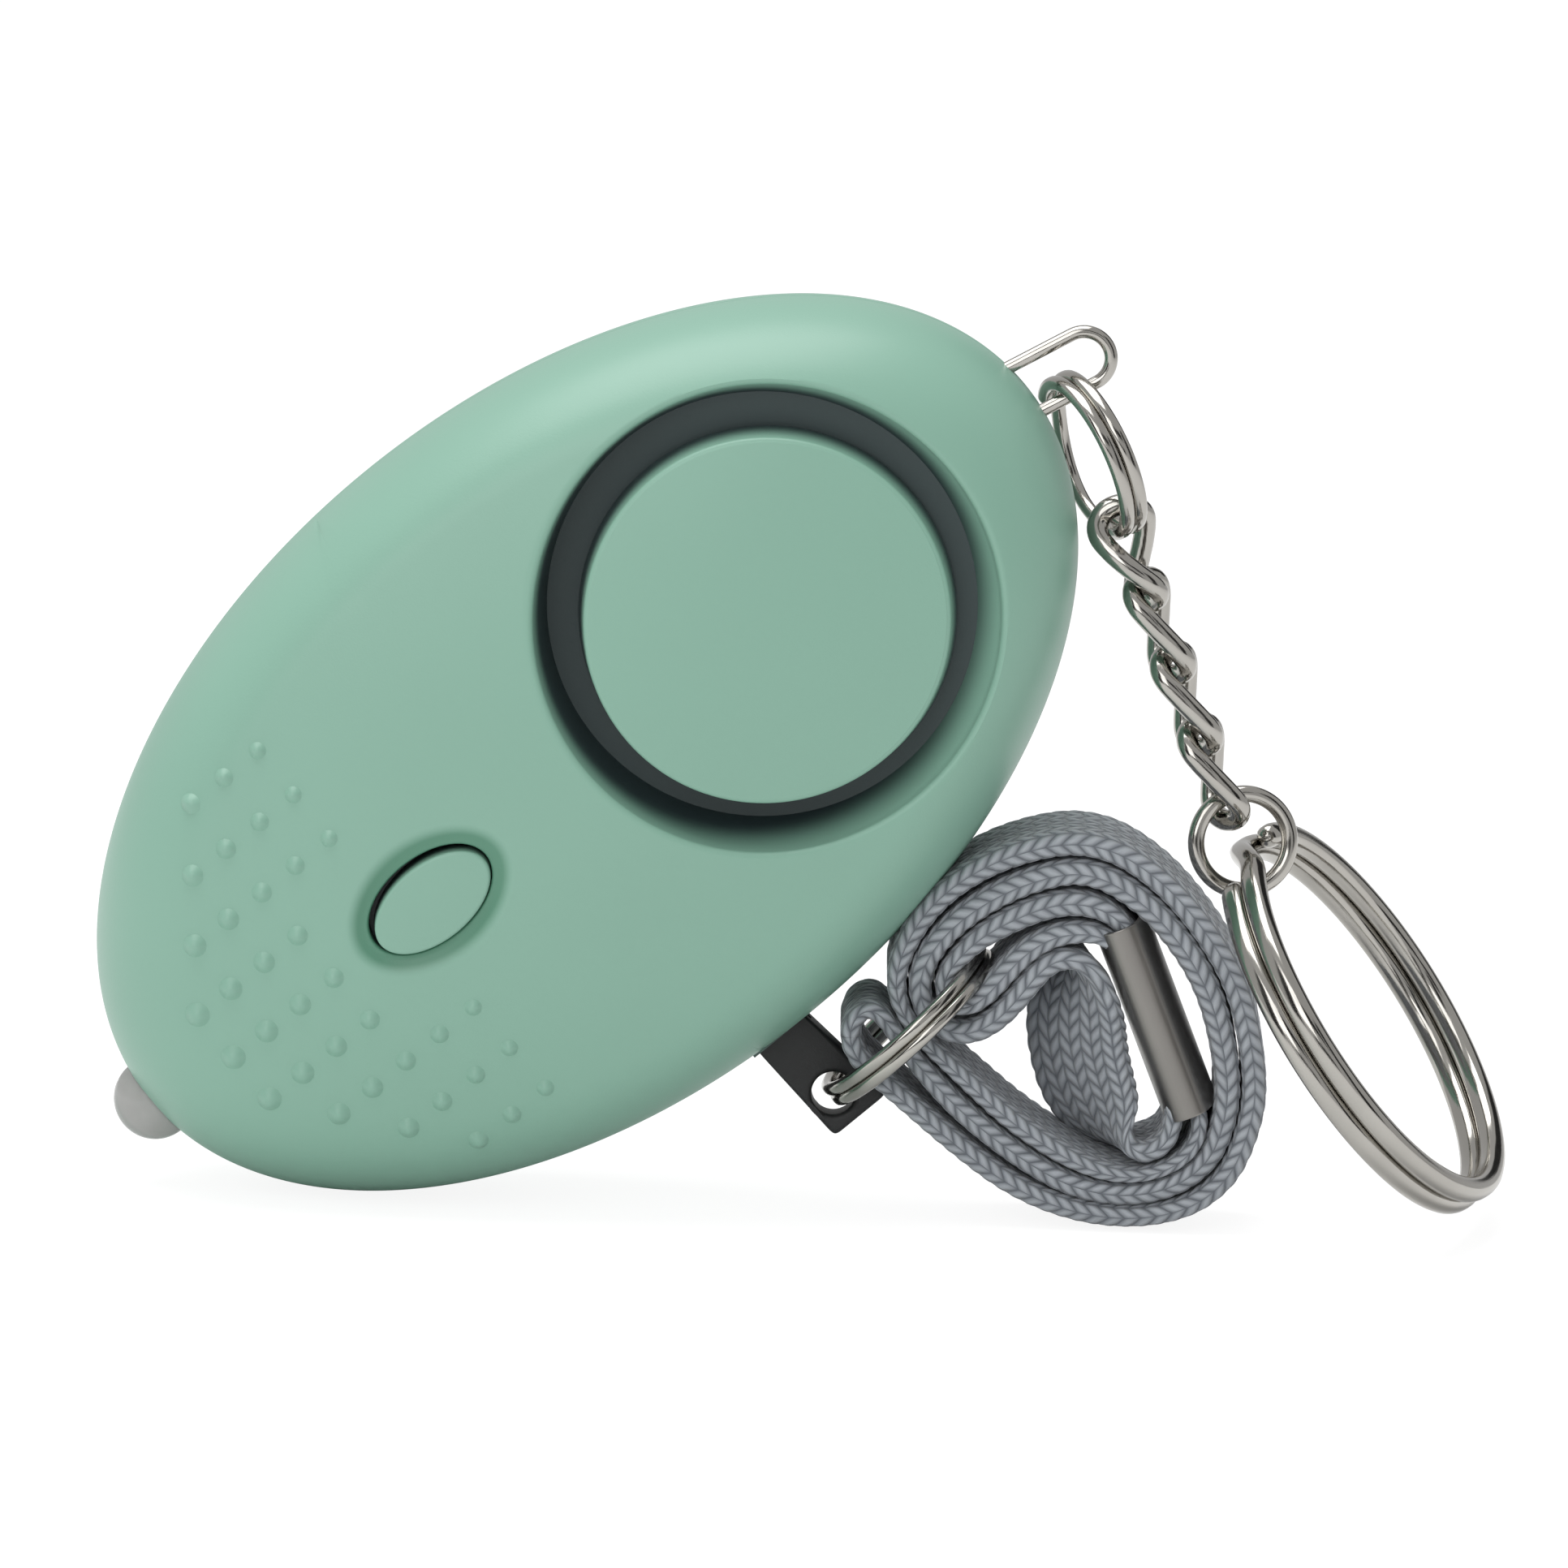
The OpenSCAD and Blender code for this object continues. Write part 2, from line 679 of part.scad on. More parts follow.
// Two leaf contacts that the pin's blade holds apart.
module pin_contacts() {
    color("goldenrod")
    standing() {
        gap = blade_t / 2 + run;
        translate([-4.2, -17, gap]) cube([2.6, 8, 0.25]);
        translate([-4.2, -9.25, gap]) cube([2.6, 0.25, board_z - gap - seat]);
        translate([-4.2, -17, -gap - 0.25]) cube([2.6, 9, 0.25]);
        translate([-4.2, -8.25, -gap - 0.25]) cube([2.6, 0.25, board_z + gap + 0.25 - seat]);
    }
}

// Leads from the piezo disc to the board.
module piezo_leads() {
    color("firebrick")
    standing()
    for (s = [-1, 1]) {
        tip = s > 0 ? [4.6, plate_z - seat] : [8.5, plate_z - plate_t - 0.02 - seat];
        rod([tip[0], 3 * s, 2.1], 2, tip[1] - 2.1, 0.25);
        translate([tip[0], 3 * s, 2.1]) sphere(r = 0.25, $fn = 20);
        rod([-3, 3 * s, 2.1], 0, tip[0] + 3, 0.25);
        translate([-3, 3 * s, 2.1]) sphere(r = 0.25, $fn = 20);
        rod([-3, 3 * s, 2.1], 2, board_z - 2.1 - seat, 0.25);
    }
}

// Four countersunk screws from the back.
module case_screws() {
    color("silver")
    standing()
    for (p = screw_spots)
        translate([p.x, p.y, 0])
        difference() {
            union() {
                translate([0, 0, screw_seat - 1.3]) cylinder(r = head_r, h = 1.3);
                translate([0, 0, screw_seat - 0.1]) cylinder(r = screw_r, h = screw_tip - screw_seat + 0.1);
            }
            for (a = [0, 90])
                rotate(a) translate([-1.2, -0.25, screw_seat - 1.4]) cube([2.4, 0.5, 0.8]);
        }
}

// Wire bail at the sounder's end, held by its turned feet inside the case.
module bail() {
    color("silver")
    standing()
    translate(bail_foot)
    rotate(bail_skew) {
        for (s = [-1, 1]) {
            rod([bail_in, s * bail_half, 0], 0, bail_reach - bail_in, bail_wire_r);
            translate([bail_in, s * bail_half, 0]) sphere(r = bail_wire_r, $fn = 20);
            rod([bail_in, s > 0 ? bail_half : -bail_half - 1.4, 0], 1, 1.4, bail_wire_r);
        }
        translate([bail_reach, 0, 0])
        rotate(-90)
        rotate_extrude(angle = 180)
        translate([bail_half, 0])
        circle(bail_wire_r, $fn = 20);
    }
}

// Pull pin: the tab with its eye, and the blade that parts the contacts.
module pull_pin() {
    color("black")
    standing()
    difference() {
        union() {
            translate([-pin_x, -pin_out, -tab_t / 2])
            linear_extrude(tab_t)
            polygon([[-tab_w / 2, 0], [-tab_w / 2 + 0.2, -tab_l + 1], [-tab_w / 2 + 1.2, -tab_l],
                [tab_w / 2 - 1.2, -tab_l], [tab_w / 2 - 0.2, -tab_l + 1], [tab_w / 2 - 0.9, 0]]);
            for (s = [-1, 1])
                translate([-pin_x + s * (tab_w / 2 - 1.2), -pin_out - tab_l + 1, -tab_t / 2])
                cylinder(r = 1, h = tab_t);
            translate([-pin_x - blade_w / 2, -pin_out - 1, -blade_t / 2]) cube([blade_w, 10, blade_t]);
        }
        translate([eye.x, eye.y, -5]) cylinder(r = eye_r, h = 10);
    }
}

// Split ring through the pin's eye, which carries the strap.
module pin_ring() {
    color("silver")
    standing()
    translate(eye)
    rotate(pin_ring_turn)
    translate([pin_ring_r, 0, 0])
    rotate([90, 0, 0])
    split_ring(pin_ring_r, pin_wire_r);
}

// Wrist strap: one unbroken ribbon from its tail, through the clamp, round the coil and its folded end, and back.
module wrist_strap() {
    corners = [[-0.5, -0.5], [0.5, -0.5], [0.5, 0.5], [-0.5, 0.5]];
    points = [for (k = [0:curve_n - 1], c = corners) ribbon_point(k, c.x, c.y)];
    sides = [for (k = [0:curve_n - 2], j = [0:3])
        let (p = 4 * k + j, q = 4 * k + (j + 1) % 4)
        each [[p, q, q + 4], [p, q + 4, p + 4]]];
    last = 4 * (curve_n - 1);
    ends = [[0, 3, 2], [0, 2, 1], [last, last + 1, last + 2], [last, last + 2, last + 3]];
    color("slategray")
    polyhedron(points = points, faces = concat(sides, ends));
}

// Metal clamp that joins the strap's two ends.
module strap_crimp() {
    from = stand(eye);
    thick = strap_squeezed + 1.45 + 0.12;
    color("gray")
    translate([from.x + clamp_mid.x, 0, from.z + clamp_mid.y])
    rotate([0, -clamp_tilt, 0])
    difference() {
        translate([-thick / 2 - clamp_wall, -strap_w / 2 - 0.1 - clamp_wall, -clamp_l / 2])
        cube([thick + 2 * clamp_wall, strap_w + 0.2 + 2 * clamp_wall, clamp_l]);
        translate([-thick / 2, -strap_w / 2 - 0.1, -clamp_l])
        cube([thick, strap_w + 0.2, 2 * clamp_l]);
    }
}

// Double jump ring that hangs from the bail.
module jump_ring() {
    color("silver")
    facing(jump_at, jump_dir, jump_side) split_ring(jump_mean, jump_wire_r);
}

// One twisted chain link: an oval of wire whose lower end is turned against its upper end.
module chain_link(k) {
    straight = link_a - link_b;
    steps = 6;
    flat = concat(
        [for (i = [0:steps - 1])
            let (a = -90 + 180 * i / steps)
            [straight + link_b * cos(a), link_b * sin(a)]],
        [for (i = [0:4]) [straight * (1 - 2 * i / 5), link_b]],
        [for (i = [0:steps - 1])
            let (a = 90 + 180 * i / steps)
            [-straight + link_b * cos(a), link_b * sin(a)]],
        [for (i = [0:4]) [straight * (2 * i / 5 - 1), -link_b]]
    );
    outward = [0, 1, 0];
    points = [for (p = flat)
        let (a = link_turn(k, p.x))
        link_at(k) + chain_dir * p.x + p.y * (chain_side * cos(a) + outward * sin(a))];
    normals = [for (p = flat)
        let (a = link_turn(k, p.x))
        outward * cos(a) - chain_side * sin(a)];
    color("silver")
    wire_loop(points, normals, link_wire_r);
}
module chain_link_1() {
    chain_link(0);
}
module chain_link_2() {
    chain_link(1);
}
module chain_link_3() {
    chain_link(2);
}
module chain_link_4() {
    chain_link(3);
}

// Plain round link between the chain and the key ring.
module end_link() {
    color("silver")
    facing(end_at, end_dir, end_side)
    rotate_extrude($fn = 60)
    translate([end_r, 0])
    circle(end_wire_r, $fn = 24);
}

// Split key ring at the end of the chain.
module key_ring() {
    color("silver")
    facing(key_at, ring_dir, ring_side) split_ring(key_mean, key_wire_r);
}

front_shell();
rear_shell();
horn_ring();
sounder_cap();
piezo_plate();
piezo_ceramic();
light_button();
switch_body();
switch_plunger();
lamp();
lamp_leads();
circuit_board();
inductor();
driver_chip();
capacitor();
battery_cells();
battery_contacts();
pin_contacts();
piezo_leads();
case_screws();
bail();
pull_pin();
pin_ring();
wrist_strap();
strap_crimp();
jump_ring();
chain_link_1();
chain_link_2();
chain_link_3();
chain_link_4();
end_link();
key_ring();
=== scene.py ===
"""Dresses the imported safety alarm: shells, sounder, button, lamp, pull pin, strap, chain and rings."""
import logging
from dataclasses import dataclass, field
from enum import Enum
from typing import Optional, Sequence, Union

import bmesh
import bpy
import numpy as np
from mathutils import Matrix, Vector


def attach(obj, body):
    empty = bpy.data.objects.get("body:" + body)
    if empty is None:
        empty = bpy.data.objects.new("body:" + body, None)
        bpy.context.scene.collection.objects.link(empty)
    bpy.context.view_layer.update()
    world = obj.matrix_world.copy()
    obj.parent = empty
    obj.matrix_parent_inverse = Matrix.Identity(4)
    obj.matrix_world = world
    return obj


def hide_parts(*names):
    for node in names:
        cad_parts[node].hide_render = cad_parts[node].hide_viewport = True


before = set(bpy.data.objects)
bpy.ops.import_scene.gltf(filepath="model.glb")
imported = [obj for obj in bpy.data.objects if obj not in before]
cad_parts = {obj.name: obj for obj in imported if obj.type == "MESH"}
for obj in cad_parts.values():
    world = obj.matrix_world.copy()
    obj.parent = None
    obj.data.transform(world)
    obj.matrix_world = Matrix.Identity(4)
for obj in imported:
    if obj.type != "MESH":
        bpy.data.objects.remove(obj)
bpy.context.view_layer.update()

LOG = logging.getLogger("safety_alarm")
MM = 0.001
WELD = 1.5e-6
SLIVER = 1e-7
Array = np.ndarray
Pair = tuple[float, float]
Triple = tuple[float, float, float]
Material = bpy.types.Material
NodeSocket = bpy.types.NodeSocket
Amount = Union[float, NodeSocket]


def srgb(red: int, green: int, blue: int) -> Triple:
    """Linear colour of a display colour.

    Args:
        red: Red from 0 to 255.
        green: Green from 0 to 255.
        blue: Blue from 0 to 255.

    Returns:
        The three linear values: a straight line near black, and a 2.4 power above it.
    """
    c = np.array([red, green, blue]) / 255.0
    linear = np.where(c < 0.04045, c / 12.92, ((c + 0.055) / 1.055) ** 2.4)
    return tuple(float(x) for x in linear)


def smooth(x: Array) -> Array:
    """Smooth step: three x squared less two x cubed, with x held between 0 and 1."""
    x = np.clip(x, 0.0, 1.0)
    return x * x * (3.0 - 2.0 * x)


def unit(v: Array) -> Array:
    """Each vector of an array divided by its own length."""
    return v / np.linalg.norm(v, axis=-1, keepdims=True)


@dataclass
class Surface:
    """A sheet of quads in millimetres, with a UV at each corner and named values at each point."""

    points: Array
    faces: Array
    uv: Array
    values: dict[str, Array] = field(default_factory=dict)


def grid(
    points: Array,
    wrap_rows: bool = False,
    wrap_cols: bool = False,
    u: Optional[Array] = None,
    v: Optional[Array] = None,
    **values: Array,
) -> Surface:
    """Quads between the rows and columns of a grid of points.

    Args:
        points: Points as rows by columns by 3, in millimetres.
        wrap_rows: True where the last row joins the first.
        wrap_cols: True where the last column joins the first.
        u: UV along the rows, one more than the rows where they wrap.
        v: UV along the columns, one more than the columns where they wrap.
        values: Numbers for each point, rows by columns.

    Returns:
        The sheet, whose quad at row i and column j has the corners i, i+1 and j, j+1.
    """
    rows, cols = points.shape[:2]
    u = np.linspace(0, 1, rows + wrap_rows) if u is None else u
    v = np.linspace(0, 1, cols + wrap_cols) if v is None else v
    i, j = np.meshgrid(np.arange(rows - 1 + wrap_rows), np.arange(cols - 1 + wrap_cols), indexing="ij")
    i, j = i.ravel(), j.ravel()
    at_i = np.stack([i, i + 1, i + 1, i], -1)
    at_j = np.stack([j, j, j + 1, j + 1], -1)
    return Surface(
        points.reshape(-1, 3),
        (at_i % rows) * cols + at_j % cols,
        np.stack([u[at_i], v[at_j]], -1),
        {name: np.broadcast_to(value, (rows, cols)).ravel() for name, value in values.items()},
    )


def join(*sheets: Surface) -> Surface:
    """One surface of several.

    Args:
        sheets: The surfaces.

    Returns:
        The surface, with a value of 0 where a sheet doesn't have it.
    """
    starts = np.cumsum([0] + [len(s.points) for s in sheets[:-1]])
    names = sorted({name for s in sheets for name in s.values})
    return Surface(
        np.concatenate([s.points for s in sheets]),
        np.concatenate([s.faces + start for s, start in zip(sheets, starts)]),
        np.concatenate([s.uv for s in sheets]),
        {n: np.concatenate([s.values.get(n, np.zeros(len(s.points))) for s in sheets]) for n in names},
    )


def sweep(
    path: Array, sides: Array, section: Array, closed: bool = False, size: Optional[Array] = None
) -> Surface:
    """A section carried along a path.

    Each point is the path's point, plus the section's first value along the side that is square to the path
    and to the given normal, plus its second value along that normal.

    Args:
        path: Points of the path, in millimetres.
        sides: The normal at each point, roughly square to the path.
        section: Points of the closed section, as two values each.
        closed: True where the path is a loop.
        size: Scale of the section at each point of the path.

    Returns:
        The tube, with UVs in millimetres along the path and round the section.
    """
    if closed:
        along = np.roll(path, -1, 0) - np.roll(path, 1, 0)
        steps = np.linalg.norm(np.roll(path, -1, 0) - path, axis=1)
    else:
        along = np.gradient(path, axis=0)
        steps = np.linalg.norm(np.diff(path, axis=0), axis=1)
    across = unit(np.cross(along, sides))
    up = unit(np.cross(across, along))
    scale = np.ones(len(path)) if size is None else size
    ring = np.linalg.norm(np.roll(section, -1, 0) - section, axis=1)
    points = path[:, None] + scale[:, None, None] * (
        section[None, :, :1] * across[:, None] + section[None, :, 1:] * up[:, None]
    )
    u = np.concatenate([[0], np.cumsum(steps)])
    v = np.concatenate([[0], np.cumsum(ring)])
    return grid(points, closed, True, u, v)


def round_section(radius: float, sides: int = 20, squareness: float = 2.0) -> Array:
    """A wire's section: a superellipse, which is a circle at a squareness of 2 and flatter sided above it.

    Args:
        radius: Half its width.
        sides: Points round it.
        squareness: The superellipse's power.

    Returns:
        The points, as two values each.
    """
    a = np.arange(sides) * 2 * np.pi / sides
    c, s = np.cos(a), np.sin(a)
    span = (np.abs(c) ** squareness + np.abs(s) ** squareness) ** (1 / squareness)
    return radius * np.stack([c, s], -1) / span[:, None]


def rounded_ends(count: int, taper: int) -> Array:
    """Scale along a wire whose ends are closed by a quarter circle over a few points."""
    t = np.clip(np.minimum(np.arange(count), np.arange(count)[::-1]) / taper, 0, 1)
    return np.sqrt(1 - (1 - t) ** 2)


class Shading(Enum):
    """How the edges of a piece are shaded: the angle in degrees above which an edge stays sharp."""

    SOFT = 180.0
    MOULDED = 40.0
    CUT = 28.0


def make_piece(
    name: str,
    surface: Surface,
    material: Material,
    body: str,
    stands_for: Sequence[str] = (),
    shading: Shading = Shading.MOULDED,
) -> bpy.types.Object:
    """Makes a surface a piece of the object, which moves with a CAD body.

    Args:
        name: Name of the piece.
        surface: Its points and quads, in millimetres.
        material: Its finish.
        body: CAD body that it rides on.
        stands_for: CAD nodes that it stands for.
        shading: How its edges are shaded.

    Returns:
        The object, at the origin, with its place in its mesh.
    """
    mesh = bpy.data.meshes.new(name)
    mesh.from_pydata((surface.points * MM).tolist(), [], surface.faces.tolist())
    layer = mesh.uv_layers.new(name="UVMap")
    layer.data.foreach_set("uv", surface.uv.astype(np.float32).ravel())
    for key, value in surface.values.items():
        mesh.attributes.new(key, "FLOAT", "POINT").data.foreach_set("value", value.astype(np.float32))
    work = bmesh.new()
    work.from_mesh(mesh)
    bmesh.ops.remove_doubles(work, verts=work.verts, dist=WELD)
    bmesh.ops.dissolve_degenerate(work, edges=work.edges, dist=SLIVER)
    bmesh.ops.recalc_face_normals(work, faces=work.faces)
    work.to_mesh(mesh)
    work.free()
    mesh.polygons.foreach_set("use_smooth", np.ones(len(mesh.polygons), bool))
    mesh.set_sharp_from_angle(angle=np.radians(shading.value))
    mesh.materials.append(material)
    piece = bpy.data.objects.new(name, mesh)
    bpy.context.scene.collection.objects.link(piece)
    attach(piece, body)
    if stands_for:
        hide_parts(*stands_for)
    LOG.info("%s: %d faces, rides on %s", name, len(mesh.polygons), body)
    return piece


class Graph:
    """A material's nodes, written as sums of sockets."""

    def __init__(self, name: str) -> None:
        """Starts a material with a principled shader.

        Args:
            name: Name of the material.
        """
        self.material = bpy.data.materials.new(name)
        self.material.use_nodes = True
        self.tree = self.material.node_tree
        self.tree.nodes.clear()
        self.shader = self.add("ShaderNodeBsdfPrincipled")
        output = self.add("ShaderNodeOutputMaterial")
        self.tree.links.new(self.shader.outputs["BSDF"], output.inputs["Surface"])

    def add(self, kind: str, **settings: object) -> bpy.types.Node:
        """Adds a node and sets its properties.

        Args:
            kind: Kind of node.
            settings: Its properties by name.

        Returns:
            The node.
        """
        node = self.tree.nodes.new(kind)
        for key, value in settings.items():
            setattr(node, key, value)
        return node

    def put(self, socket: NodeSocket, value: object) -> None:
        """Links a socket to a value, or sets it where the value is a number or a colour.

        Args:
            socket: The socket to fill.
            value: Another node's socket, a number or a colour.
        """
        if isinstance(value, NodeSocket):
            self.tree.links.new(value, socket)
        else:
            socket.default_value = value

    def set(self, **values: object) -> None:
        """Puts values on the shader's sockets.

        Args:
            values: Values by the socket's name, with underscores for its spaces.
        """
        for key, value in values.items():
            value = (*value, 1.0) if isinstance(value, tuple) and len(value) == 3 else value
            self.put(self.shader.inputs[key.replace("_", " ")], value)

    def math(
        self, operation: str, a: Amount, b: Amount = 0.0, c: Amount = 0.0, clamp: bool = False
    ) -> NodeSocket:
        """The result of a Math node.

        Args:
            operation: What the node does.
            a: Its first value.
            b: Its second value.
            c: Its third value.
            clamp: True where the result is held between 0 and 1.

        Returns:
            The result's socket.
        """
        node = self.add("ShaderNodeMath", operation=operation, use_clamp=clamp)
        for socket, value in zip(node.inputs, (a, b, c)):
            self.put(socket, value)
        return node.outputs[0]

    def coords(self, output: str, scale: Triple = (1.0, 1.0, 1.0)) -> NodeSocket:
        """Texture coordinates, stretched along each axis.

        Args:
            output: Which coordinates.
            scale: The stretch along each axis.

        Returns:
            The coordinates' socket.
        """
        place = self.add("ShaderNodeTexCoord")
        mapping = self.add("ShaderNodeMapping")
        self.tree.links.new(place.outputs[output], mapping.inputs["Vector"])
        mapping.inputs["Scale"].default_value = scale
        return mapping.outputs["Vector"]

    def noise(self, vector: NodeSocket, scale: float, detail: float = 2.0) -> NodeSocket:
        """Noise from 0 to 1.

        Args:
            vector: The coordinates that it is drawn on.
            scale: How fine it is.
            detail: How many finer layers it has.

        Returns:
            The noise's socket.
        """
        node = self.add("ShaderNodeTexNoise")
        node.inputs["Scale"].default_value = scale
        node.inputs["Detail"].default_value = detail
        self.tree.links.new(vector, node.inputs["Vector"])
        return node.outputs["Fac"]

    def attribute(self, name: str) -> NodeSocket:
        """A named value of the mesh's points, which is 0 where the mesh has none."""
        return self.add("ShaderNodeAttribute", attribute_name=name).outputs["Fac"]

    def mix(self, amount: Amount, a: object, b: object) -> NodeSocket:
        """A mix of two colours.

        Args:
            amount: Share of the second colour.
            a: The first colour.
            b: The second colour.

        Returns:
            The mixed colour's socket.
        """
        node = self.add("ShaderNodeMix", data_type="RGBA")
        for socket, value in zip((node.inputs[0], node.inputs[6], node.inputs[7]), (amount, a, b)):
            self.put(socket, (*value, 1.0) if isinstance(value, tuple) else value)
        return node.outputs[2]

    def bump(self, height: NodeSocket, strength: float, distance: float) -> None:
        """Raises the shaded surface.

        Args:
            height: The height, from 0 to 1.
            strength: Share of the effect.
            distance: Metres at a height of 1.
        """
        node = self.add("ShaderNodeBump")
        node.inputs["Strength"].default_value = strength
        node.inputs["Distance"].default_value = distance
        self.tree.links.new(height, node.inputs["Height"])
        self.tree.links.new(node.outputs["Normal"], self.shader.inputs["Normal"])


@dataclass(frozen=True)
class MouldedPlastic:
    """Satin moulded plastic with a fine spark grain, and colours of painted shade in its deep places and
    round the button.
    """

    name: str
    colour: Triple
    # deep and ring are colours of painted shade: deep for the walls of recesses, ring for the button's dish
    # and hole.
    deep: Triple
    ring: Triple
    roughness: float = 0.38
    grain: float = 0.00002
    drift_scale: float = 55.0
    spark_scale: float = 7000.0

    def material(self) -> Material:
        """Makes the material: slow colour drift, grain in the bump and gloss, and painted shade by two named
        values.

        Returns:
            The material.
        """
        g = Graph(self.name)
        place = g.coords("Object")
        drift = g.noise(place, self.drift_scale)
        fine = g.noise(place, self.spark_scale, 3.0)
        dark = tuple(0.95 * c for c in self.colour)
        light = tuple(min(1.0, 1.05 * c) for c in self.colour)
        body = g.mix(drift, dark, light)
        # Painted shade: the ring value mixes toward the ring colour, then the deep value toward the deep
        # colour.
        ringed = g.mix(g.attribute("ring"), body, self.ring)
        g.set(
            Base_Color=g.mix(g.attribute("deep"), ringed, self.deep),
            Roughness=g.math("MULTIPLY_ADD", fine, 0.08, self.roughness - 0.04),
        )
        g.bump(fine, 0.35, self.grain)
        return g.material


@dataclass(frozen=True)
class DrawnMetal:
    """Plated wire or sheet with faint drawing lines along it and a few dull patches."""

    name: str
    colour: Triple
    roughness: float
    lines: float = 0.5
    spread: float = 0.1

    def material(self) -> Material:
        """Makes the material: noise stretched along the wire sets its lines, and slow noise its gloss.

        Returns:
            The material.
        """
        g = Graph(self.name)
        lines = g.noise(g.coords("UV", (0.35, 9.0, 1.0)), 1.0, 4.0)
        dull = g.noise(g.coords("Object"), 260.0)
        dark = tuple(0.82 * c for c in self.colour)
        g.set(
            Base_Color=g.mix(dull, dark, self.colour),
            Roughness=g.math("MULTIPLY_ADD", dull, self.spread, self.roughness - self.spread / 2),
            Metallic=1.0,
        )
        g.bump(lines, self.lines, 0.000012)
        return g.material


@dataclass(frozen=True)
class Braid:
    """Flat braided cord: slanting strands in columns that lean left and right by turns."""

    name: str
    strand: Triple
    # groove is the colour of painted shade in the low places between strands.
    groove: Triple
    column: float
    pitch: float
    slant: float = 0.85

    def relief(self, along: Array, round_it: Array) -> Array:
        """Height of the braid from 0 to 1.

        The column's own fraction gives its rounded sides, and the strand's fraction is the length over the
        pitch, shifted up or down across the column by turns.

        Args:
            along: Length along the strap in millimetres.
            round_it: Place round the section in millimetres.

        Returns:
            The height, highest in the middle of a strand.
        """
        column = round_it / self.column
        f = column - np.floor(column)
        lean = 2.0 * (np.floor(column) % 2) - 1.0
        w = along / self.pitch + lean * (f - 0.5) * self.slant
        w = w - np.floor(w)
        return (1 - (2 * w - 1) ** 2) * (1 - (2 * f - 1) ** 4)

    def material(self) -> Material:
        """Makes the material: the same relief from the UV map's millimetres, with fibres on each strand and
        painted shade in its low places.

        Returns:
            The material.
        """
        g = Graph(self.name)
        split = g.add("ShaderNodeSeparateXYZ")
        g.tree.links.new(g.coords("UV"), split.inputs[0])
        along, round_it = split.outputs[0], split.outputs[1]
        column = g.math("DIVIDE", round_it, self.column)
        f = g.math("FRACT", column)
        lean = g.math("MULTIPLY_ADD", g.math("MODULO", g.math("FLOOR", column), 2.0), 2.0, -1.0)
        shift = g.math("MULTIPLY", g.math("MULTIPLY", g.math("SUBTRACT", f, 0.5), self.slant), lean)
        strand = g.math("ADD", g.math("DIVIDE", along, self.pitch), shift)
        w = g.math("MULTIPLY_ADD", g.math("FRACT", strand), 2.0, -1.0)
        crown = g.math("SUBTRACT", 1.0, g.math("MULTIPLY", w, w), clamp=True)
        edge = g.math("POWER", g.math("ABSOLUTE", g.math("MULTIPLY_ADD", f, 2.0, -1.0)), 4.0)
        height = g.math("MULTIPLY", crown, g.math("SUBTRACT", 1.0, edge, clamp=True))
        place = g.add("ShaderNodeCombineXYZ")
        g.put(place.inputs[0], g.math("MULTIPLY", strand, 9.0))
        g.put(place.inputs[1], g.math("MULTIPLY", round_it, 2.5))
        fibre = g.noise(place.outputs[0], 1.0, 3.0)
        patch = g.noise(g.coords("UV", (0.5, 0.3, 1.0)), 1.0)
        # Painted shade: the colour falls to the groove colour where the relief is low, between strands and
        # at column edges.
        tone = g.math("MULTIPLY", height, g.math("MULTIPLY_ADD", fibre, 0.5, 0.6), clamp=True)
        tone = g.math("MULTIPLY", tone, g.math("MULTIPLY_ADD", patch, 0.4, 0.8), clamp=True)
        g.set(
            Base_Color=g.mix(tone, self.groove, self.strand),
            Roughness=0.78,
            Sheen_Weight=0.25,
            Sheen_Roughness=0.5,
        )
        g.bump(g.math("MULTIPLY_ADD", fibre, 0.25, height), 0.9, 0.00012)
        return g.material


@dataclass(frozen=True)
class ClearLens:
    """Clear, faintly milky cast lens."""

    name: str = "lamp_lens"
    clear: Triple = srgb(168, 168, 166)
    milky: Triple = srgb(194, 194, 191)

    def material(self) -> Material:
        """Makes the material: a half see-through body whose milkiness drifts a little.

        Returns:
            The material.
        """
        g = Graph(self.name)
        milk = g.noise(g.coords("Object"), 500.0)
        g.set(
            Base_Color=g.mix(milk, self.clear, self.milky),
            Roughness=g.math("MULTIPLY_ADD", milk, 0.06, 0.16),
            Transmission_Weight=0.45,
            IOR=1.5,
        )
        return g.material


@dataclass(frozen=True)
class Speckled:
    """An inner part's finish: a plain colour with speckles, for boards, ceramics and small components."""

    name: str
    colour: Triple
    roughness: float = 0.5
    metallic: float = 0.0
    speckle: float = 2500.0

    def material(self) -> Material:
        """Makes the material: noise mixes the colour with a darker one and sets a light bump.

        Returns:
            The material.
        """
        g = Graph(self.name)
        spots = g.noise(g.coords("Object"), self.speckle, 3.0)
        g.set(
            Base_Color=g.mix(spots, tuple(0.75 * c for c in self.colour), self.colour),
            Roughness=g.math("MULTIPLY_ADD", spots, 0.2, self.roughness - 0.1),
            Metallic=self.metallic,
        )
        g.bump(spots, 0.2, 0.00002)
        return g.material


# Colours of painted shade: slate for the case's deep places, and a darker green for the button's dish and
# hole.
SLATE_SHADE = srgb(52, 66, 68)
MINT = MouldedPlastic("mint_plastic", srgb(132, 173, 155), SLATE_SHADE, srgb(88, 138, 115))
# The horn ring's plastic: its own dark colour, which also carries painted shade deep in the well.
DARK_AND_SHADE = MouldedPlastic("dark_plastic", srgb(58, 72, 73), SLATE_SHADE, SLATE_SHADE, 0.5)
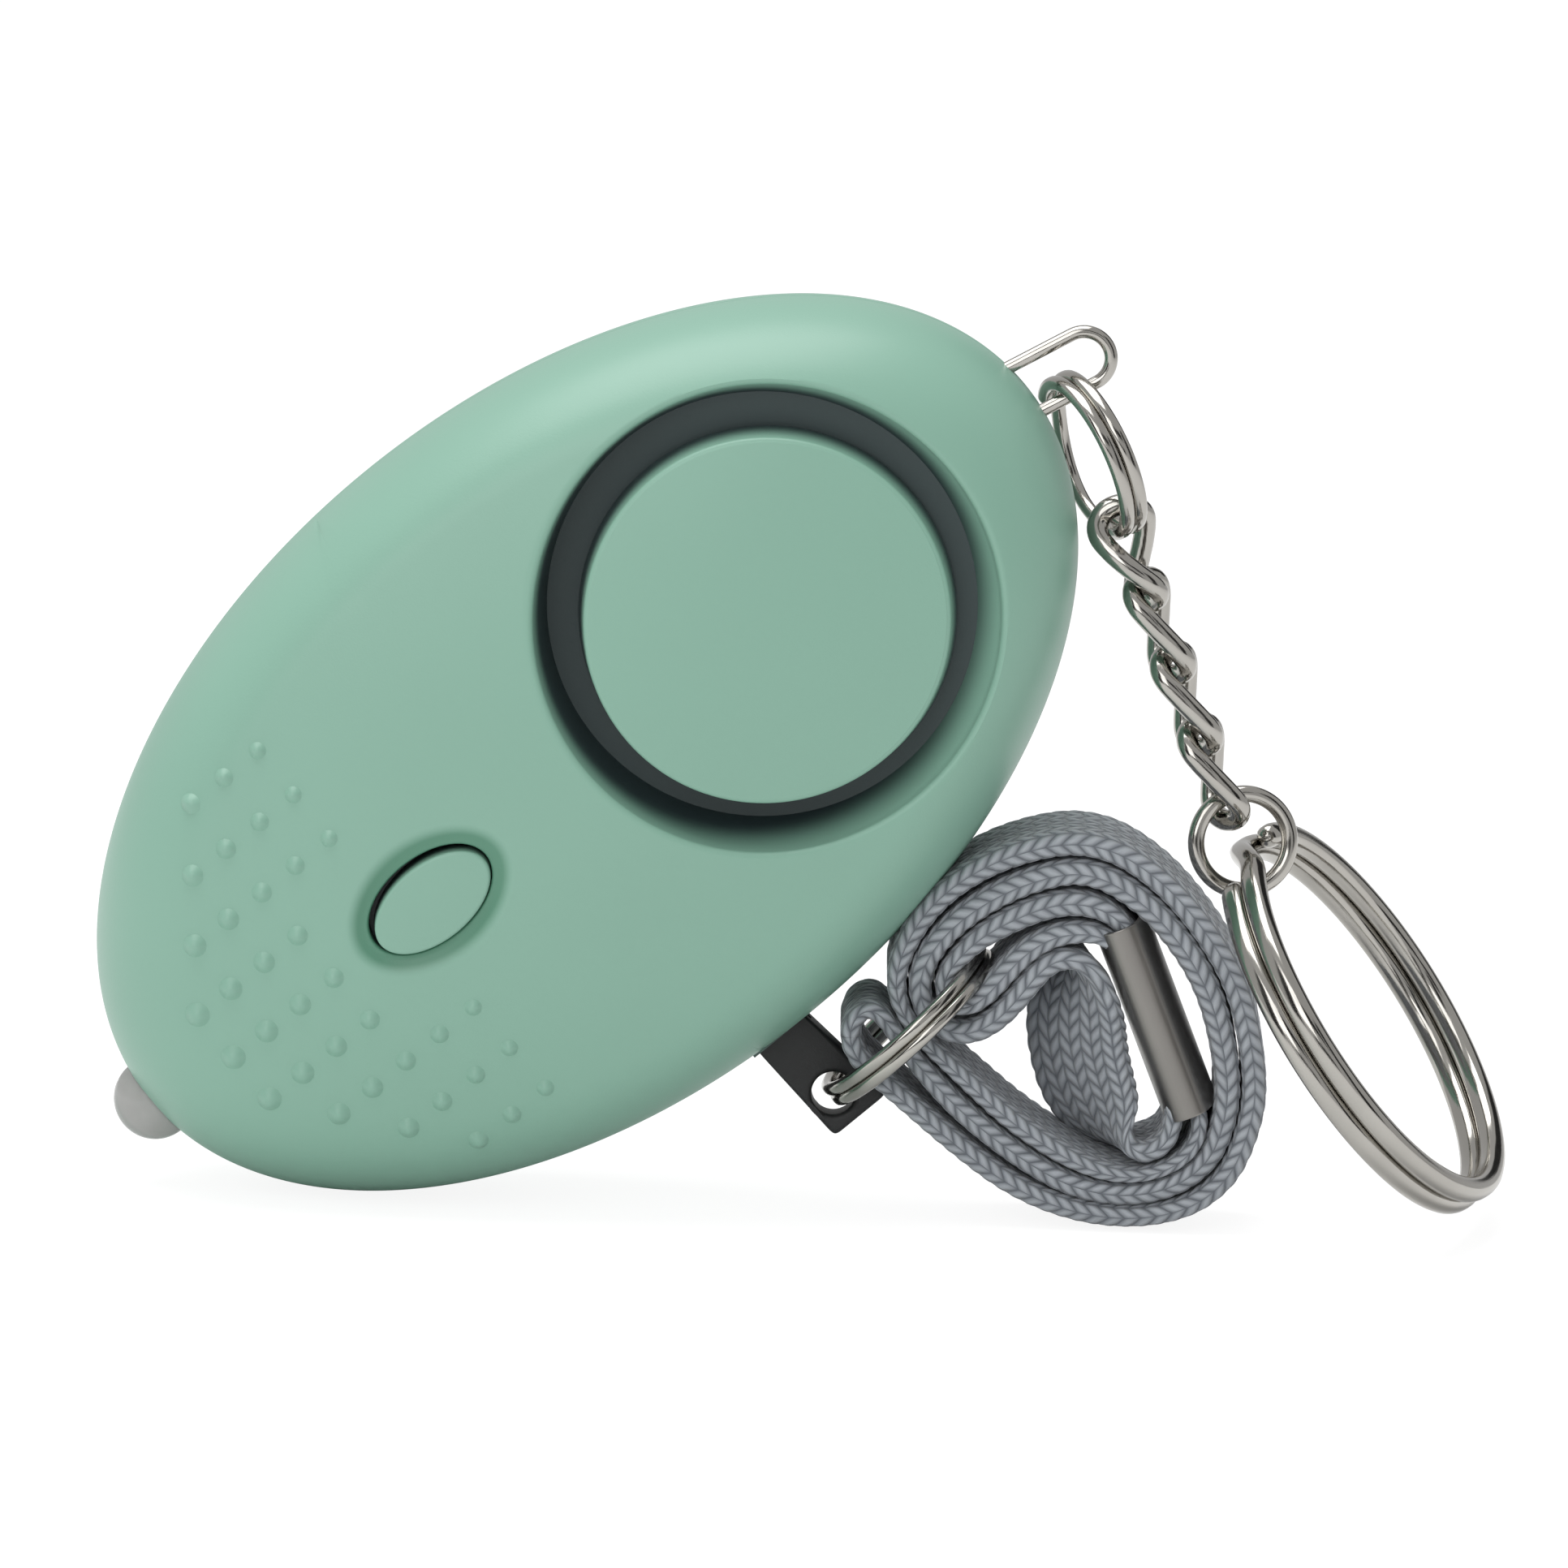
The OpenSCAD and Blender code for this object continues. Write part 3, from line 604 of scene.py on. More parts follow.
# The black plastic's colour of painted shade, for its deep and ring values.
BLACK_SHADE = srgb(20, 20, 20)
BLACK = MouldedPlastic("black_plastic", srgb(30, 30, 31), BLACK_SHADE, BLACK_SHADE, 0.52, 0.00003)
NICKEL = DrawnMetal("nickel", srgb(188, 185, 179), 0.13)
CLAMP_METAL = DrawnMetal("clamp_metal", srgb(150, 147, 143), 0.36, 0.9, 0.12)
# The braid's groove colour is painted shade.
BRAID = Braid("braid", srgb(174, 179, 185), srgb(96, 101, 108), 0.917, 0.95)


@dataclass(frozen=True)
class CaseForm:
    """The pebble that both shells are cut from, in millimetres, and the way it stands."""

    length: float = 68.0
    width: float = 42.0
    front: float = 11.0
    back: float = 10.2
    shoulder: float = 9.0
    lean: float = 42.0
    middle: float = 13.65

    @property
    def core(self) -> float:
        """Radius at which the shoulder's arc is centred."""
        return self.length / 2 - self.shoulder

    @property
    def dome(self) -> Pair:
        """The wide dome that meets the shoulder.

        Returns:
            Its centre's height and its radius.
        """
        rise = self.front - self.shoulder
        centre = (rise**2 - self.core**2) / (2 * rise)
        return centre, self.front - centre

    @property
    def across(self) -> float:
        """Width over length."""
        return self.width / self.length

    @property
    def lift(self) -> float:
        """Height of the case centre over the table: half the height of the leaning outline."""
        a = np.radians(self.lean)
        return float(np.hypot(self.length / 2 * np.sin(a), self.width / 2 * np.cos(a)))

    def height(self, x: Array, y: Array) -> Array:
        """Height of the face over a point.

        The radius is taken with the width stretched to the length. Inside, the height is the dome's circle,
        and outside it is the shoulder's circle.

        Args:
            x: Place along the case.
            y: Place across the case.

        Returns:
            The height above the joint line.
        """
        r = np.hypot(x, y / self.across)
        centre, radius = self.dome
        meet = radius * np.cos(np.arctan2(-centre, self.core))
        top = centre + np.sqrt(np.maximum(radius**2 - r**2, 0))
        side = np.sqrt(np.maximum(self.shoulder**2 - (r - self.core) ** 2, 0))
        return np.where(r < meet, top, side)

    def back_depth(self, x: Array, y: Array) -> Array:
        """Depth of the back: the smaller of the pebble and the flat, rounded where they meet."""
        z, soft = self.height(x, y), 0.25
        return 0.5 * (z + self.back - np.sqrt((z - self.back) ** 2 + soft**2))

    def stand(self, p: Array) -> Array:
        """Points of the case turned by the lean about the view axis and lifted onto the table.

        Args:
            p: Points along and across the case and out of its face.

        Returns:
            The points in the standing frame, whose face looks along -Y.
        """
        a = np.radians(self.lean)
        x, y, z = p[..., 0], p[..., 1], p[..., 2]
        right = x * np.cos(a) - y * np.sin(a) - self.middle
        up = x * np.sin(a) + y * np.cos(a) + self.lift
        return np.stack([right, -z, up], -1)

    def band(self, z: Array) -> Array:
        """Long radius of the outline at a height near the joint line."""
        return self.core + np.sqrt(self.shoulder**2 - np.asarray(z) ** 2)


FORM = CaseForm()


def fan(hole: Array, edge: Array, steps: Array) -> Array:
    """Points on straight lines from a hole's edge to an outer edge.

    Args:
        hole: Points round the hole.
        edge: The outer point that belongs to each.
        steps: Share of the way for each row and line.

    Returns:
        The points, lines by rows by 2.
    """
    return hole[:, None] + steps[..., None] * (edge - hole)[:, None]


def clustered(count: int, power: float = 2.0) -> Array:
    """Shares from 0 to 1 that crowd toward 1: one less a power of what is left."""
    return 1 - (1 - np.linspace(0, 1, count)) ** power


@dataclass
class FrontShell:
    """Front half of the case, with the sounder well, the dished button hole and the grip bumps."""

    band_z: float = 1.4
    seam: float = -3.4
    well_at: float = 14.2
    well_r: float = 13.8
    well_floor: float = 5.9
    well_draft: float = 0.55
    well_lean: float = 1.0
    rim: float = 0.4
    button_at: float = -11.75
    button_half: Pair = (4.38, 2.66)
    dish: float = 1.35
    dish_depth: float = 0.42
    # Strength of the painted shade in the button's dish.
    dish_shade: float = 1.7
    near_button: float = 1.6
    shade_from: float = 0.35
    shade_fade: Pair = (1.4, 1.8)
    slot: Pair = (-4.35, 0.75)
    slot_depth: Triple = (-20.95, -20.0, -18.6)
    bump_from: float = -14.0
    bump_pitch: Pair = (2.62, 3.31)
    bump_size: float = 0.95
    bump_reach: float = 0.8
    bump_lift: float = 0.5
    bump_sunk: float = 0.015

    def arcs(self) -> tuple[Array, Array, Array]:
        """Angles of the outline right and left of the seam, and the seam's places across the case.

        Returns:
            The right angles, the left angles and the seam's y, with the pin slot's edges among the angles.
        """
        r = float(FORM.band(self.band_z))
        turn = np.arccos(self.seam / r)
        right = np.linspace(-turn, turn, 321)
        left = np.linspace(turn, 2 * np.pi - turn, 261)
        edges = [-np.arccos(self.slot[1] / r), 2 * np.pi - np.arccos(self.slot[0] / r)]
        right[np.argmin(np.abs(right - edges[0]))] = edges[0]
        left[np.argmin(np.abs(left - edges[1]))] = edges[1]
        reach = r * FORM.across * np.sin(turn)
        return right, left, np.linspace(reach, -reach, 81)

    def outline(self, angles: Array, z: float) -> Array:
        """The outline at a height: cosine times the long radius, and sine times the short one."""
        r = FORM.band(z)
        return np.stack([r * np.cos(angles), r * FORM.across * np.sin(angles)], -1)

    def sounder_side(self, right: Array, seam: Array) -> Surface:
        """The face round the sounder well, with its rounded rim and its wall.

        The wall's draft is a steady part and a part that grows to the low side, by half of one less the sine
        of the angle. The wall's painted shade darkens with depth, and more slowly on that side, where more
        light falls.

        Args:
            right: Angles of the outline.
            seam: Places across the case along the seam.

        Returns:
            The sheet: rows from the well's floor up the wall, over the rim and out to the outline.
        """
        between = np.stack([np.full(len(seam) - 2, self.seam), seam[1:-1]], -1)
        edge = np.concatenate([self.outline(right, self.band_z), between])
        angle = np.arctan2(edge[:, 1], edge[:, 0] - self.well_at)
        spoke = np.stack([np.cos(angle), np.sin(angle)], -1)
        centre = np.array([self.well_at, 0.0])
        hole = centre + (self.well_r + self.rim) * spoke
        flat = fan(hole, edge, np.broadcast_to(clustered(60), (len(edge), 60)))
        face = np.concatenate([flat, FORM.height(flat[..., 0], flat[..., 1])[..., None]], -1)
        top = face[:, 0, 2]
        a = np.linspace(np.pi / 2, 0, 7)[:-1]
        rim_r = self.well_r + self.rim * (1 - np.sin(a))
        rim_z = top[:, None] - self.rim * (1 - np.cos(a))
        share = np.linspace(1, 0, 9)
        drop = (top - self.rim - self.well_floor)[:, None]
        lean = (1 - np.sin(angle))[:, None] / 2
        wall_r = self.well_r - (self.well_draft + self.well_lean * lean) * share
        wall_z = top[:, None] - self.rim - drop * share
        radius = np.concatenate([wall_r[:, :-1], np.broadcast_to(rim_r, (len(edge), 6))], 1)
        level = np.concatenate([wall_z[:, :-1], rim_z], 1)
        lip = np.concatenate([centre + radius[..., None] * spoke[:, None], level[..., None]], -1)
        # Painted shade on the well's wall: slate deepens with depth, more slowly on the lit low side.
        fade = self.shade_fade[0] + self.shade_fade[1] * lean
        deep = smooth((top[:, None] - level - self.shade_from) / fade)
        deep = np.concatenate([deep, np.zeros(flat.shape[:2])], 1)
        return grid(FORM.stand(np.concatenate([lip, face], 1)), wrap_rows=True, deep=deep)

    def button_side(self, left: Array, seam: Array) -> Surface:
        """The face round the button hole, with its dish and the hole's wall.

        Args:
            left: Angles of the outline.
            seam: Places across the case along the seam.

        Returns:
            The sheet: rows up the hole's wall, over its edge, across the dish and out to the outline.
        """
        between = np.stack([np.full(len(seam) - 2, self.seam), seam[-2:0:-1]], -1)
        edge = np.concatenate([self.outline(left, self.band_z), between])
        angle = np.arctan2(edge[:, 1], edge[:, 0] - self.button_at)
        a, b = self.button_half
        radius = a * b / np.hypot(b * np.cos(angle), a * np.sin(angle))
        spoke = np.stack([np.cos(angle), np.sin(angle)], -1)
        centre = np.array([self.button_at, 0.0])
        hole = centre + radius[:, None] * spoke
        near = np.linspace(0, self.near_button, 18) / np.linalg.norm(edge - hole, axis=1)[:, None]
        far = near[:, -1:] + (1 - near[:, -1:]) * clustered(58)[1:]
        flat = fan(hole, edge, np.concatenate([near, far], 1))
        out = flat - centre
        ratio = np.maximum(np.hypot(out[..., 0] / a, out[..., 1] / b), 1.0)
        away = np.linalg.norm(out, axis=-1) * (1 - 1 / ratio)
        dish = 1 - smooth(away / self.dish)
        z = FORM.height(flat[..., 0], flat[..., 1]) - self.dish_depth * dish
        face = np.concatenate([flat, z[..., None]], -1)
        drops = np.array([2.6, 1.4, 0.7, 0.35, 0.14, 0.06, 0.02])
        inward = np.array([0.12, 0.12, 0.12, 0.12, 0.11, 0.07, 0.03])
        wall = centre + (radius[:, None] - inward)[..., None] * spoke[:, None]
        lip = np.concatenate([wall, (z[:, :1] - drops)[..., None]], -1)
        # Painted shade: the hole's wall and the dish take the darker ring green, and the wall also darkens
        # to slate with depth.
        ring = np.concatenate([np.ones((len(edge), len(drops))), np.minimum(self.dish_shade * dish, 1)], 1)
        dark = np.broadcast_to(smooth(drops / 1.2), wall.shape[:2])
        deep = np.concatenate([dark, np.zeros(flat.shape[:2])], 1)
        return grid(FORM.stand(np.concatenate([lip, face], 1)), wrap_rows=True, ring=ring, deep=deep)

    def skirt(self, angles: Array) -> Surface:
        """The steep edge down to the joint line, with the groove there and a lip behind it.

        Args:
            angles: Angles round the whole outline, in order.

        Returns:
            The sheet, left open where the pull pin's slot is.
        """
        levels = np.array([self.band_z, 1.1, 0.8, 0.5, 0.3, 0.16, 0.08, 0.03, 0.03])
        inset = np.array([0, 0, 0, 0, 0, 0, 0.03, 0.14, 1.6])
        r = FORM.band(levels) - inset
        ring = np.stack([r * np.cos(angles)[:, None], r * FORM.across * np.sin(angles)[:, None]], -1)
        points = np.concatenate([ring, np.broadcast_to(levels, ring.shape[:2])[..., None]], -1)
        sheet = grid(FORM.stand(points))
        x = ring[:, 0, 0].repeat(len(levels))[sheet.faces].mean(1)
        y = ring[:, 0, 1].repeat(len(levels))[sheet.faces].mean(1)
        kept = ~((x > self.slot[0]) & (x < self.slot[1]) & (y < 0))
        return Surface(sheet.points, sheet.faces[kept], sheet.uv[kept], sheet.values)

    def bumps(self) -> Surface:
        """The grip bumps: each is a bell on the face, as high as one less its radius squared, to a power.

        Returns:
            One sheet of all the bumps, smaller toward the button.
        """
        rows = [(0, 2), (0, 3), (0, 4), (2, 5), (2, 5), (2, 5), (0, 4), (0, 3), (0, 2)]
        spots = np.array([(i, j) for j, (lo, hi) in enumerate(rows) for i in range(lo, hi + 1)], float)
        x0 = self.bump_from - self.bump_pitch[0] * spots[:, 0]
        y0 = self.bump_pitch[1] * (4 - spots[:, 1])
        size = self.bump_size * (0.7 + 0.06 * spots[:, 0])
        a = np.linspace(0, 2 * np.pi, 25)[:-1]
        s = np.linspace(1, 0, 10)
        reach = self.bump_reach * size[:, None, None] * s[None, None]
        x = x0[:, None, None] + reach * np.cos(a)[None, :, None]
        y = y0[:, None, None] + reach * np.sin(a)[None, :, None]
        bell = (1 - s**2)[None, None] ** 1.2
        lift = self.bump_lift * size[:, None, None] * bell - self.bump_sunk
        near = 0.01
        slope = [
            (FORM.height(x0 + dx, y0 + dy) - FORM.height(x0 - dx, y0 - dy)) / (2 * near)
            for dx, dy in ((near, 0.0), (0.0, near))
        ]
        normal = unit(np.stack([-slope[0], -slope[1], np.ones(len(spots))], -1))
        points = np.stack([x, y, FORM.height(x, y)], -1) + lift[..., None] * normal[:, None, None]
        return join(*[grid(FORM.stand(p), wrap_rows=True) for p in points])

    def slot_walls(self) -> Surface:
        """Walls of the pull pin's slot, straight in from the case's edge.

        Returns:
            The sheet, open at both ends.
        """
        x0, x1 = self.slot
        z = self.band_z
        corners = np.array([[x0, -z], [x1, -z], [x1, z], [x0, z]])
        depth = np.array(self.slot_depth)
        points = np.stack(
            [
                np.broadcast_to(corners[:, :1], (4, 3)),
                np.broadcast_to(depth, (4, 3)),
                np.broadcast_to(corners[:, 1:], (4, 3)),
            ],
            -1,
        )
        # The slot's walls carry painted shade, most of the way to slate.
        return grid(FORM.stand(points), wrap_rows=True, deep=np.ones((4, 3)) * 0.8)

    def build(self, plastic: Material) -> None:
        """Builds and dresses the front shell.

        Args:
            plastic: Its finish.
        """
        right, left, seam = self.arcs()
        ring = np.concatenate([right, left[1:]])
        shell = join(self.sounder_side(right, seam), self.button_side(left, seam), self.skirt(ring))
        make_piece("front_shell_moulding", shell, plastic, "case", ["front_shell"])
        make_piece("grip_bumps", self.bumps(), plastic, "case", shading=Shading.SOFT)
        make_piece("pin_slot_walls", self.slot_walls(), plastic, "case")


@dataclass
class RearShell:
    """Rear half of the case: a flat back and four screw wells."""

    band_z: float = 1.4
    split: float = -5.25
    wells: tuple[Pair, ...] = ((-18.5, 11.3), (8.0, 16.3))
    well_r: float = 2.05
    well_floor: float = 5.3
    chamfer: float = 0.3
    slot: Pair = (-4.35, 0.75)

    def quarter(self, well: Pair, angles: Array, mirrored: bool) -> Surface:
        """A quarter of the back round one screw well.

        Args:
            well: Place of the well.
            angles: Angles of the outline that belong to the quarter.
            mirrored: True for the quarter across the long axis.

        Returns:
            The sheet: rows up the well, over its chamfer and out to the quarter's edge.
        """
        r = float(FORM.band(self.band_z))
        arc = np.stack([r * np.cos(angles), r * FORM.across * np.sin(angles)], -1)
        far = r * FORM.across * np.sin(np.arccos(self.split / r))
        inner = np.stack([np.full(48, self.split), np.linspace(far, 0, 48)], -1)
        ends = (self.split, r) if well[0] > self.split else (-r, self.split)
        axis = np.stack([np.linspace(*ends, 60), np.zeros(60)], -1)
        loop = [arc, inner[1:], axis[1:-1]] if well[0] > self.split else [arc, axis[1:], inner[-2:0:-1]]
        edge = np.concatenate(loop)
        out = edge - np.array(well)
        spoke = unit(out)
        hole = np.array(well) + (self.well_r + self.chamfer) * spoke
        flat = fan(hole, edge, np.broadcast_to(clustered(40, 1.6), (len(edge), 40)))
        z = FORM.back_depth(flat[..., 0], flat[..., 1])
        widen = np.array([0, 0, 0, 0, 0.1 * self.chamfer])
        radius = np.array([0.9, 1.0, 1.0, 1.0, 1.0]) * self.well_r + widen
        level = np.array([0.0, 0.0, 0.5, 1.0, 1.0])
        top = z[:, :1] - self.chamfer
        wall_z = self.well_floor + (top - self.well_floor) * level
        wall = np.array(well) + radius[None, :, None] * spoke[:, None]
        points = np.concatenate(
            [np.concatenate([wall, wall_z[..., None]], -1), np.concatenate([flat, z[..., None]], -1)], 1
        )
        points[..., 2] *= -1
        if mirrored:
            points[..., 1] *= -1
        return grid(FORM.stand(points), wrap_rows=True)

    def skirt(self, angles: Array) -> Surface:
        """The steep edge up to the joint line: the front shell's, mirrored.

        Args:
            angles: Angles round the whole outline, in order.

        Returns:
            The sheet, left open where the pull pin's slot is.
        """
        sheet = FrontShell(band_z=self.band_z, slot=self.slot).skirt(angles)
        flipped = sheet.points.copy()
        flipped[:, 1] *= -1
        return Surface(flipped, sheet.faces, sheet.uv, sheet.values)

    def build(self, plastic: Material) -> None:
        """Builds and dresses the rear shell.

        Args:
            plastic: Its finish.
        """
        r = float(FORM.band(self.band_z))
        turn = np.arccos(self.split / r)
        right, left = np.linspace(0, turn, 150), np.linspace(turn, np.pi, 120)
        quarters = [
            self.quarter(well, angles, side)
            for well, angles in zip(self.wells, (left, right))
            for side in (False, True)
        ]
        half = np.concatenate([right, left[1:]])
        ring = np.concatenate([-half[:0:-1], half])
        for edge in -np.arccos(np.array(self.slot) / r):
            ring[np.argmin(np.abs(ring - edge))] = edge
        shell = join(*quarters, self.skirt(ring))
        make_piece("rear_shell_moulding", shell, plastic, "case", ["rear_shell"])


@dataclass
class Sounder:
    """The disc in the middle of the well."""

    at: float = 14.2
    top_r: float = 10.85
    foot_r: float = 11.2
    foot_z: float = 6.6
    edge: float = 0.28
    sunk: float = 0.12
    under: Pair = (10.0, 3.0)
    shade_from: float = 0.25
    shade_fade: float = 2.2

    def build(self, plastic: Material) -> None:
        """Builds the disc: a top that follows the face, a rounded edge and a wall whose painted shade
        darkens downward.

        Args:
            plastic: Its finish.
        """
        a = np.linspace(0, 2 * np.pi, 241)[:-1]
        flat_r = (self.top_r - self.edge) * np.sin(np.linspace(0, np.pi / 2, 26))
        turn = np.linspace(0, np.radians(80), 8)[1:]
        edge_r = self.top_r - self.edge + self.edge * np.sin(turn)
        edge_d = self.edge * (1 - np.cos(turn))
        share = np.linspace(0, 1, 12)[1:]
        wall_r = edge_r[-1] + (self.foot_r - edge_r[-1]) * share
        radius = np.concatenate([flat_r, edge_r, wall_r, self.under])
        x = self.at + radius[None] * np.cos(a)[:, None]
        y = radius[None] * np.sin(a)[:, None]
        rim = FORM.height(self.at + self.top_r * np.cos(a), self.top_r * np.sin(a))[:, None] - self.sunk
        top = FORM.height(x, y) - self.sunk
        n, m = len(flat_r), len(edge_d)
        top[:, n : n + m] = rim - edge_d
        wall = rim - edge_d[-1]
        top[:, n + m : -2] = wall + (self.foot_z - wall) * share
        top[:, -2:] = self.foot_z
        # Painted shade: the disc's edge and wall darken to slate with depth below the rim.
        deep = smooth((rim - top - self.shade_from) / self.shade_fade)
        deep[:, :n] = 0
        sheet = grid(FORM.stand(np.stack([x, y, top], -1)), wrap_rows=True, deep=deep)
        make_piece("sounder_disc", sheet, plastic, "case", ["sounder_cap"])


@dataclass
class TorchButton:
    """The oval button over the switch."""

    at: Pair = (-11.72, -0.2)
    half: Pair = (4.18, 2.46)
    top: float = 0.02
    crown: float = 0.1
    edge: float = 0.22
    draft: float = 0.16
    depth: float = 2.4
    flange: Pair = (1.1, 1.0)

    def build(self, plastic: Material) -> None:
        """Builds the button: a faintly crowned oval top, a rounded edge, a wall and a flange inside.

        Args:
            plastic: Its finish.
        """
        a = np.linspace(0, 2 * np.pi, 161)[:-1]
        base = float(FORM.height(*np.array(self.at))) + self.top
        turn = np.linspace(0, np.radians(85), 8)[1:]
        reach, flange = self.flange
        slope = np.linspace(0, -self.draft, 6)[1:]
        inset = np.concatenate([self.edge * (1 - np.sin(turn)), slope, [-reach, -reach]])
        drop = self.edge * (1 - np.cos(turn))
        wall = np.linspace(drop[-1], self.depth, 6)[1:]
        level = np.concatenate([drop, wall, [self.depth, self.depth + flange]])
        share = np.sin(np.linspace(0, np.pi / 2, 14))
        cos, sin = np.cos(a)[:, None], np.sin(a)[:, None]
        half = np.array(self.half) - self.draft
        flat = half - self.edge
        x = np.concatenate([flat[0] * share * cos, (half[0] - inset) * cos], 1)
        y = np.concatenate([flat[1] * share * sin, (half[1] - inset) * sin], 1)
        z = np.concatenate([self.crown * (1 - share**2), -level])[None] + np.zeros_like(x) + base
        # Painted shade: the button's wall darkens to slate with depth.
        deep = np.concatenate([np.zeros(14), smooth((level - 0.5) / 1.2)])[None] + np.zeros_like(x)
        points = np.stack([x + self.at[0], y + self.at[1], z], -1)
        sheet = grid(FORM.stand(points), wrap_rows=True, deep=deep)
        make_piece("torch_button", sheet, plastic, "button", ["light_button"])


@dataclass
class TorchLamp:
    """The domed lamp at the low end of the case."""

    radius: float = 2.5
    dome_at: float = -33.8
    body_at: float = -31.0
    flange: Pair = (-29.5, -28.5)
    flange_r: float = 2.9

    def build(self, lens: Material) -> None:
        """Builds the lens: a half ball, a straight body and the base flange, turned about the long axis.

        Args:
            lens: Its finish.
        """
        t = np.linspace(0, np.pi / 2, 24)
        base, back = self.flange
        dome = self.dome_at - self.radius * np.cos(t)
        x = np.concatenate([dome, [self.body_at, base, base, back, back]])
        r = np.concatenate([self.radius * np.sin(t), [self.radius] * 2, [self.flange_r] * 2, [0.0]])
        a = np.linspace(0, 2 * np.pi, 65)[:-1]
        points = np.stack(
            [np.broadcast_to(x, (64, len(x))), r * np.cos(a)[:, None], r * np.sin(a)[:, None]], -1
        )
        sheet = grid(FORM.stand(points), wrap_rows=True)
        make_piece("torch_lens", sheet, lens, "case", ["lamp"])


@dataclass
class PullPin:
    """The black tab with its eye, and the blade between the contacts."""

    x: float = -1.8
    out: float = 20.5
    width: float = 4.5
    length: float = 7.3
    thick: float = 2.2
    eye_r: float = 1.3
    eye_in: float = 2.1
    fillet: float = 0.35
    blade: Pair = (3.0, 1.0)

    @property
    def eye(self) -> Array:
        """Place of the eye in the case."""
        return np.array([self.x - 0.4, -self.out - self.length + self.eye_in, 0.0])

    def tab(self) -> Surface:
        """The tab: a closed ring of sections from the eye out to the tab's outline.

        One over the outline's radius is a high power mean of one over the distance to each straight side,
        which rounds the corners.

        Returns:
            The sheet, whose sections run round the eye.
        """
        a = np.linspace(0, 2 * np.pi, 145)[:-1]
        spoke = np.stack([np.cos(a), np.sin(a)], -1)
        half, to_neck = self.width / 2, self.length - self.eye_in
        right, left = np.array([self.length - 1, 0.7]), np.array([1 - self.length, -0.2])
        normals = np.array([unit(right), unit(left), [0.0, -1.0], [0.0, 1.0]])
        corners = np.array(
            [[half + 0.2, -1.1], [0.6 - half, -1.1], [0.0, -self.eye_in], [0.0, to_neck + 1.0]]
        )
        reach = (corners * normals).sum(1)
        facing = np.maximum(spoke @ normals.T, 0) / reach
        outer = 1 / (facing**11).sum(1) ** (1 / 11)
        f, h = self.fillet, self.thick / 2
        t = np.linspace(0, np.pi / 2, 6)
        lift = np.concatenate([h - f + f * np.sin(t), h - f + f * np.sin(t[::-1])])
        inset = np.concatenate([f * (1 - np.cos(t)), f * (1 - np.cos(t[::-1]))])
        whole_inset = np.concatenate([inset, inset[::-1]])
        level = np.concatenate([lift, -lift[::-1]])
        far = np.concatenate([np.zeros(6), np.ones(12), np.zeros(6)])
        r = (1 - far) * (self.eye_r + whole_inset) + far * (outer[:, None] - whole_inset)
        flat = self.eye[:2] + r[..., None] * spoke[:, None]
        points = np.concatenate([flat, np.broadcast_to(level, r.shape)[..., None]], -1)
        return grid(FORM.stand(points), wrap_rows=True, wrap_cols=True)

    def bar(self) -> Surface:
        """The blade: a flat bar with rounded edges and a tapered tip.

        Returns:
            The sheet, whose rows run in from the tab.
        """
        y = np.array([-21.4, -21.4, -14.0, -12.2, -11.6, -11.5, -11.5])
        size = np.array([0.0, 1.0, 1.0, 1.0, 0.75, 0.5, 0.0])
        ring = round_section(1.0, 24, 6.0) * np.array(self.blade) / 2
        points = np.stack(
            [
                self.x + size[:, None] * ring[None, :, 0],
                np.broadcast_to(y[:, None], (7, 24)),
                size[:, None] * ring[None, :, 1],
            ],
            -1,
        )
        return grid(FORM.stand(points), wrap_cols=True)

    def build(self, plastic: Material) -> None:
        """Builds and dresses the pin.

        Args:
            plastic: Its finish.
        """
        pin = join(self.tab(), self.bar())
        make_piece("pin_tab", pin, plastic, "pin", ["pull_pin"])


@dataclass
class SplitRing:
    """A ring wound of two turns of wire, which cross over at its cut ends."""

    name: str
    body: str
    node: str
    centre: Array
    along: Array
    side: Array
    mean_r: float
    wire_r: float
    cut: float = 235.0
    step: float = 40.0
    squareness: float = 2.6
    sections: int = 420

    def build(self, metal: Material) -> None:
        """Builds the ring: the wire keeps to one layer for a turn, steps across and runs a turn more.

        Args:
            metal: Its finish.
        """
        step = np.radians(self.step)
        a = np.linspace(step * 0.55, 4 * np.pi - step * 0.55, self.sections)
        level = 0.99 * self.wire_r * (2 * smooth((a - 2 * np.pi + step / 2) / step) - 1)
        up = np.cross(self.along, self.side)
        turn = a + np.radians(self.cut)
        out = np.cos(turn)[:, None] * self.along + np.sin(turn)[:, None] * self.side
        path = self.centre + self.mean_r * out + level[:, None] * up
        section = round_section(self.wire_r, 20, self.squareness)
        ends = rounded_ends(self.sections, 3)
        tube = sweep(path, np.broadcast_to(up, path.shape), section, size=ends)
        make_piece(self.name, tube, metal, self.body, [self.node], Shading.SOFT)


